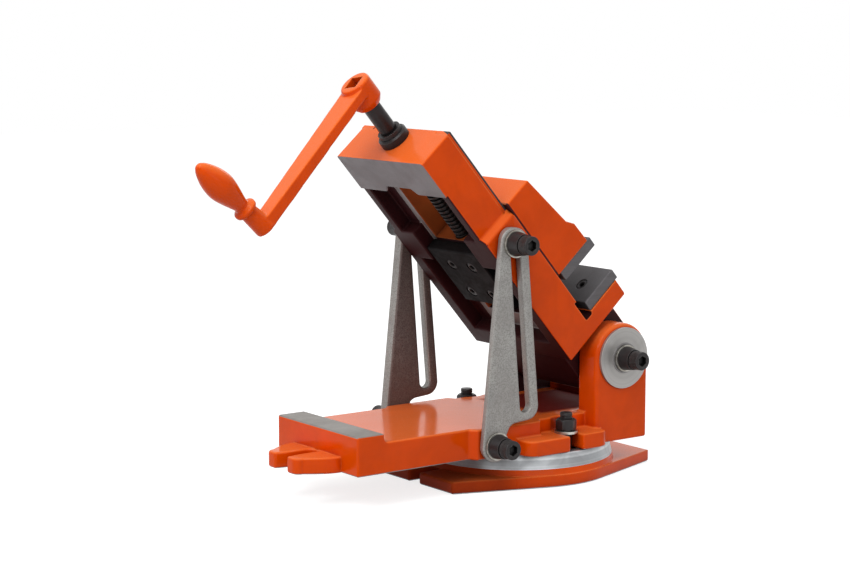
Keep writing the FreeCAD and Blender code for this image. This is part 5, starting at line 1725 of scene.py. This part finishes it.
def plate_screws(node: str, body: str) -> bpy.types.Object:
    """Detailed socket screws in place of the two CAD screws of a jaw plate.

    Args:
        node: CAD node of the screws.
        body: Body that they move with.

    Returns:
        The piece.
    """
    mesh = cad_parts[node].data
    points = [on_vise(vertex.co) for vertex in mesh.vertices]
    low_x, high_x = min(p.x for p in points), max(p.x for p in points)
    low_z, high_z = min(p.z for p in points), max(p.z for p in points)
    reach = max(p.y for p in points)
    head = (high_z - low_z) / 2
    pattern = replace(SMALL_SCREW, length=high_x - low_x - SMALL_SCREW.height, head=head)
    wide = [p for p in points if abs(abs(p.y) - (reach - head)) > head * NEAR_RIM]
    front = sum(p.x for p in wide) / len(wide) < (low_x + high_x) / 2
    seat = low_x + pattern.height if front else high_x - pattern.height
    axis = Axis.FRONT if front else Axis.REAR
    work = bmesh.new()
    for side in (-1, 1):
        place = PLACES.vise(seat, side * (reach - head), (low_z + high_z) / 2)
        pattern.build(work, place @ axis.value)
    return Maker.add(f"{node}_detailed", Maker.mesh(node, work), body, [BLACK], [node])


@dataclass
class SlidingJaw:
    """Movable jaw with its plate, bronze nut and keeper plate."""

    body: str = "sliding_jaw"
    rounding: float = 1.2
    lip: float = 0.5
    tongue_half: float = 37.0
    keeper_rows: tuple[float, float] = (-168.0, -128.0)
    keeper_sides: tuple[float, float] = (-17.0, 17.0)

    def build(self) -> None:
        """Build and dress the jaw's pieces."""
        def pick(middle: Vector, normal: Vector) -> int:
            """Painted shade on the sliding faces and the lower lip, and on the front of the tongue.

            Args:
                middle: Middle of the face.
                normal: Direction that it faces.

            Returns:
                Index of its finish.
            """
            x, y, z = on_vise(middle)
            if z > self.lip:
                return 0
            return 2 if along_vise(normal).x < -FACING and abs(y) < self.tongue_half else 1

        cuts = [(PLACES.vise(0, 0, self.lip).translation, PLACES.vise().to_3x3() @ Vector((0, 0, 1)),
                 lambda middle: True)]
        Maker.rounded("movable_jaw", [ORANGE, UNDERSIDE_SHADE, INNER_SHADE], self.rounding, self.body, pick, cuts=cuts,
                      crisp=lambda middle: on_vise(middle).z < self.lip)
        Maker.dress("movable_jaw_plate", [JAW_STEEL])
        plate_screws("movable_plate_screws", self.body)
        Maker.dress("screw_nut", [NUT_BRONZE])
        Maker.dress("keeper_plate", [KEEPER_SHADED])
        self.keeper_screws()

    def keeper_screws(self) -> None:
        """Four socket screws that hold the keeper plate from below."""
        node = "keeper_screws"
        points = [on_vise(vertex.co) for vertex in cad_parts[node].data.vertices]
        low_z = min(p.z for p in points)
        work = bmesh.new()
        for x in self.keeper_rows:
            for y in self.keeper_sides:
                place = PLACES.vise(x, y, low_z + SMALL_SCREW.height)
                SMALL_SCREW.build(work, place @ Axis.DOWN.value)
        Maker.add(f"{node}_detailed", Maker.mesh(node, work), self.body, [BLACK], [node])


@dataclass
class ScrewAndCrank:
    """Left-hand lead screw with its collars, crank and turning grip."""

    body: str = "screw_and_crank"
    grip_body: str = "grip"
    radius: float = 9.0
    pitch: float = 5.0
    thread_depth: float = 2.4
    chamfer: float = 0.8
    segments: int = 48
    thread_start: float = -281.0
    thread_stop: float = -93.0
    screw_end: float = -384.0
    journal_end: float = -68.0
    journal: float = 7.0
    square: float = 13.6
    arm_width: float = 30.0
    arm_tip_width: float = 19.0
    arm_top: float = 26.0
    arm_thickness: float = 12.5
    arm_hub_thickness: float = 9.5
    boss_radius: float = 10.5
    boss_top: float = 8.8
    boss_length: float = 26.3
    boss_foot: float = -0.5
    boss_chamfer: float = 0.6
    voxel: float = 0.8
    hub_profile: Profile = ((0, 0), (11.6, 0), (12.5, 0.8), (16.0, 6.0), (16.0, 28.0), (15.0, 29.6),
                            (13.6, 30.0), (0, 30.0))
    hub_segments: int = 72
    crank_sharp: float = 50.0
    fillet_rounds: int = 4
    socket_half: float = 7.7
    socket_gap: float = 0.09
    socket_step: float = 0.5
    socket_reach: tuple[float, float] = (-2.0, 32.0)
    socket_floor: float = 13.0
    grip_gap: float = 0.2
    grip_bore: Profile = ((4.1, 3.0), (4.1, 0.0))
    grip_profile: Profile = (
        (10.3, 0.0), (11.6, 0.7), (12.0, 1.8), (12.0, 3.2), (11.5, 4.3), (9.6, 5.4), (8.0, 6.3),
        (7.3, 7.4), (7.4, 9.0), (8.0, 11.5), (9.0, 15.0), (10.3, 19.5), (11.7, 24.5), (12.9, 29.5),
        (13.7, 34.0), (14.0, 38.0), (13.8, 42.0), (13.2, 46.5), (12.1, 51.5), (10.5, 56.5), (8.6, 61.0),
        (6.8, 64.5), (5.2, 66.7), (3.6, 68.5), (1.9, 69.4), (0.0, 69.7))

    def build(self) -> None:
        """Build and dress the screw, its collars, the crank and the grip."""
        self.lead_screw()
        for node in ("thrust_collar", "inner_thrust_collar"):
            Maker.dress(node, [BLACK])
        self.crank()
        self.grip()
        Maker.dress("grip_spindle", [BLACK])

    def lead_screw(self) -> None:
        """Screw with its square end, plain journals and a left-hand thread between."""
        segments = self.segments

        def circle(radius: float, height: float) -> list[Vector]:
            """Ring of points round the screw.

            Args:
                radius: Radius of the ring.
                height: Its height.

            Returns:
                The points, in millimetres.
            """
            return [Vector((radius * math.cos(2 * math.pi * step / segments),
                            radius * math.sin(2 * math.pi * step / segments), height))
                    for step in range(segments)]

        turn = -math.radians(PLACES.crank_angle)
        half, corner = self.square / 2, self.radius
        end, shoulder = self.screw_end, -PLACES.hub_inner
        thread = Thread(self.radius, self.radius - self.thread_depth, self.pitch, self.thread_start,
                        self.thread_stop, True, segments)
        cut = self.chamfer
        rows = [
            Maker.ring_of(half - cut, corner - cut, 4, segments, end, turn),
            Maker.ring_of(half, corner, 4, segments, end + cut, turn),
            Maker.ring_of(half, corner, 4, segments, shoulder, turn),
            circle(self.radius, shoulder + 0.05), *thread.rows(),
            circle(self.journal, self.thread_stop + 2), circle(self.journal, self.journal_end - cut),
            circle(self.journal - cut, self.journal_end),
        ]
        place = PLACES.vise(0, 0, -PLACES.screw_below) @ Axis.REAR.value
        work = bmesh.new()
        Maker.prism(work, [[place @ (p * MM) for p in row] for row in rows])
        Maker.add("threaded_lead_screw", Maker.mesh("lead_screw", work), self.body, [SCREW_STEEL],
                  ["lead_screw"])

    def crank(self) -> None:
        """Cast crank: hub, tapering arm and boss run together with soft fillets, and a square socket."""
        length = PLACES.arm_length
        work = bmesh.new()
        Maker.lathe(work, self.hub_profile, self.hub_segments)
        bottom = self.arm_top - self.arm_thickness
        sections = []
        for share in (0.0, 0.25, 0.5, 0.75, 1.0):
            half = (self.arm_width + (self.arm_tip_width - self.arm_width) * share) / 2
            low = bottom + (self.arm_thickness - self.arm_hub_thickness) * (1 - share)
            x = -length * share
            sections.append([Vector((x, y, z)) * MM for y, z in (
                (-half, low), (half, low), (half, self.arm_top), (-half, self.arm_top))])
        Maker.prism(work, sections)
        tip = self.arm_tip_width / 2
        disc = Matrix.Translation(Vector((-length, 0, 0)) * MM)
        Maker.lathe(work, ((0, bottom), (tip, bottom), (tip, self.arm_top), (0, self.arm_top)),
                    self.segments, disc)
        boss = Matrix.Translation(Vector((-length, 0, PLACES.boss_z)) * MM) @ Matrix.Rotation(
            -math.radians(PLACES.splay), 4, "Y")
        foot, cut = self.boss_foot, self.boss_chamfer
        Maker.lathe(work, ((0, foot), (self.boss_radius, foot), (self.boss_radius, 0),
                           (self.boss_top, self.boss_length - cut), (self.boss_top - cut, self.boss_length),
                           (0, self.boss_length)), self.segments, boss)
        mesh = Maker.mesh("crank_arm", work)
        piece = bpy.data.objects.new("crank_rough", mesh)
        bpy.context.scene.collection.objects.link(piece)
        remesh = piece.modifiers.new("one_casting", "REMESH")
        remesh.mode = "VOXEL"
        remesh.voxel_size = self.voxel * MM
        soft = piece.modifiers.new("fillets", "SMOOTH")
        soft.factor = 0.5
        soft.iterations = self.fillet_rounds
        cutter = self.socket_cutter()
        cut = piece.modifiers.new("square_socket", "BOOLEAN")
        cut.operation = "DIFFERENCE"
        cut.solver = "EXACT"
        cut.object = cutter
        shaped = bpy.data.meshes.new_from_object(piece.evaluated_get(bpy.context.evaluated_depsgraph_get()))
        for made in (piece, cutter):
            bpy.data.objects.remove(made)
        shaped.name = "crank_arm_cast"
        shaped.materials.clear()
        shaped.transform(PLACES.crank())
        shaped.shade_smooth()
        shaped.set_sharp_from_angle(angle=math.radians(self.crank_sharp))
        Maker.add("cast_crank_arm", shaped, self.body, [ORANGE], ["crank_arm"])

    def socket_cutter(self) -> bpy.types.Object:
        """Build the square bar that cuts the hub's socket, close on the screw below and wider above.

        Returns:
            The bar, which is removed after use.
        """
        close, wide = self.square / 2 + self.socket_gap, self.socket_half
        low, high = self.socket_reach
        work = bmesh.new()
        sections = [[Vector((x * half, y * half, z)) * MM for x, y in ((-1, -1), (1, -1), (1, 1), (-1, 1))]
                    for z, half in ((low, close), (self.socket_floor, close),
                                    (self.socket_floor + self.socket_step, wide), (high, wide))]
        Maker.prism(work, sections)
        cutter = bpy.data.objects.new("socket_cutter", Maker.mesh("socket_cutter", work))
        bpy.context.scene.collection.objects.link(cutter)
        return cutter

    def grip(self) -> None:
        """Turned grip with its bead, waist and belly."""
        seat = Matrix.Translation(Vector((0, 0, self.boss_length + self.grip_gap)) * MM)
        work = bmesh.new()
        profile = smooth_profile(self.grip_profile, between=3)
        Maker.lathe(work, (*self.grip_bore, *profile), self.hub_segments, PLACES.grip() @ seat)
        Maker.add("turned_grip", Maker.mesh("crank_grip", work), self.grip_body, [ORANGE], ["crank_grip"])


def smooth_profile(points: Profile, between: int) -> list[tuple[float, float]]:
    """Points of a smooth line through a profile's own points.

    Args:
        points: Radius and height of the points that the line goes through.
        between: Steps from each point to the next.

    Returns:
        The finer profile.
    """
    padded = [points[0], *points, points[-1]]
    line: list[tuple[float, float]] = []
    for before, first, second, after in zip(padded, padded[1:], padded[2:], padded[3:]):
        for step in range(between):
            t = step / between
            line.append(tuple(
                0.5 * (2 * b + (c - a) * t + (2 * a - 5 * b + 4 * c - d) * t * t
                       + (3 * b - a - 3 * c + d) * t ** 3)
                for a, b, c, d in zip(before, first, second, after)))
    line.append(tuple(points[-1]))
    return [(max(0.0, radius), height) for radius, height in line]


@dataclass
class Studio:
    """Pale floor, soft lamps and the camera."""

    camera_at: Point = (-1.3259, -1.6422, 0.4740)
    yaw: float = 36.33
    pitch: float = -7.5
    lens: float = 85.58
    sensor: float = 36.0
    clip: tuple[float, float] = (0.05, 50.0)
    floor_size: float = 6.0
    floor_drop: float = 0.0002
    floor_grey: float = 0.5
    floor_glow: float = 0.78
    sky_glow: float = 0.45
    sky_light: float = 0.55
    key_power: float = 30.0
    fill_power: float = 7.0

    def build(self) -> None:
        """Set the view up and add floor, world, lamps and camera."""
        scene = bpy.context.scene
        scene.view_settings.view_transform = "Standard"
        self.floor()
        self.world()
        self.lamp("key_softbox", (-1.5, -0.5, 1.9), (0.0, 0.0, 0.15), size=1.5, power=self.key_power)
        self.lamp("camera_fill", (-0.4, -2.4, 1.1), (0.0, 0.0, 0.15), size=1.6, power=self.fill_power)
        self.lamp("rim_softbox", (1.4, 1.2, 1.6), (0.0, 0.0, 0.2), size=1.2, power=self.fill_power)
        self.camera()

    @staticmethod
    def seen(nodes: Nodes) -> bpy.types.NodeSocket:
        """One for rays that end in the picture or in a reflection, zero for those that only light.

        Args:
            nodes: Tree that the nodes go in.

        Returns:
            The socket with the result.
        """
        path = nodes.add("LightPath").outputs
        mirrored = nodes.math("MAXIMUM", path["Is Glossy Ray"], path["Is Transmission Ray"])
        return nodes.math("MAXIMUM", path["Is Camera Ray"], mirrored)

    def floor(self) -> None:
        """White floor that takes the object's soft shadow."""
        half = self.floor_size
        work = bmesh.new()
        corners = [work.verts.new(Vector((x, y, -self.floor_drop))) for x, y in (
            (-half, -half), (half, -half), (half, half), (-half, half))]
        work.faces.new(corners)
        mesh = bpy.data.meshes.new("floor")
        work.to_mesh(mesh)
        work.free()
        floor = bpy.data.objects.new("floor", mesh)
        bpy.context.scene.collection.objects.link(floor)
        material = bpy.data.materials.new("floor_paper")
        material.use_nodes = True
        material.node_tree.nodes.clear()
        nodes = Nodes(material.node_tree)
        matt = nodes.add("BsdfDiffuse", {"Color": (self.floor_grey,) * 3})
        level = nodes.math("MULTIPLY", self.seen(nodes), self.floor_glow)
        glow = nodes.add("Emission", {"Color": (1.0, 1.0, 1.0), "Strength": level})
        both = nodes.add("AddShader", {0: matt.outputs[0], 1: glow.outputs[0]})
        nodes.add("OutputMaterial", {"Surface": both.outputs[0]})
        mesh.materials.append(material)

    def world(self) -> None:
        """White for what looks at it, a plainer level for what it lights."""
        world = bpy.data.worlds.new("plain_studio")
        bpy.context.scene.world = world
        world.use_nodes = True
        world.node_tree.nodes.clear()
        nodes = Nodes(world.node_tree)
        glow = nodes.math("MULTIPLY", self.seen(nodes), self.sky_glow)
        level = nodes.math("ADD", glow, self.sky_light)
        sky = nodes.add("Background", {"Color": (1.0, 1.0, 1.0), "Strength": level})
        nodes.add("OutputWorld", {"Surface": sky.outputs[0]})

    @staticmethod
    def lamp(name: str, place: Point, target: Point, size: float, power: float) -> None:
        """Add a square softbox that looks at a point.

        Args:
            name: Name of the lamp.
            place: Where it stands.
            target: What it looks at.
            size: Side of the square.
            power: Power in watts.
        """
        light = bpy.data.lights.new(name, "AREA")
        light.size = size
        light.energy = power
        lamp = bpy.data.objects.new(name, light)
        lamp.location = place
        lamp.rotation_euler = (Vector(target) - Vector(place)).to_track_quat("-Z", "Y").to_euler()
        bpy.context.scene.collection.objects.link(lamp)

    def camera(self) -> None:
        """Add the camera at the photograph's viewpoint."""
        data = bpy.data.cameras.new("camera")
        data.lens = self.lens
        data.sensor_width = self.sensor
        data.clip_start, data.clip_end = self.clip
        camera = bpy.data.objects.new("camera", data)
        camera.location = self.camera_at
        yaw, pitch = math.radians(self.yaw), math.radians(self.pitch)
        forward = Vector((math.sin(yaw) * math.cos(pitch), math.cos(yaw) * math.cos(pitch),
                          math.sin(pitch)))
        camera.rotation_euler = forward.to_track_quat("-Z", "Y").to_euler()
        bpy.context.scene.collection.objects.link(camera)
        bpy.context.scene.camera = camera


def main() -> None:
    """Build the sub-assemblies in order, then the studio."""
    logging.basicConfig(level=logging.INFO, format="%(name)s: %(message)s")
    assemblies = (SwivelBase(), Platform(), Struts(), ViseBody(), SlidingJaw(), ScrewAndCrank(), Studio())
    for assembly in assemblies:
        LOG.info("building %s", type(assembly).__name__)
        assembly.build()


if __name__ == "__main__":
    main()
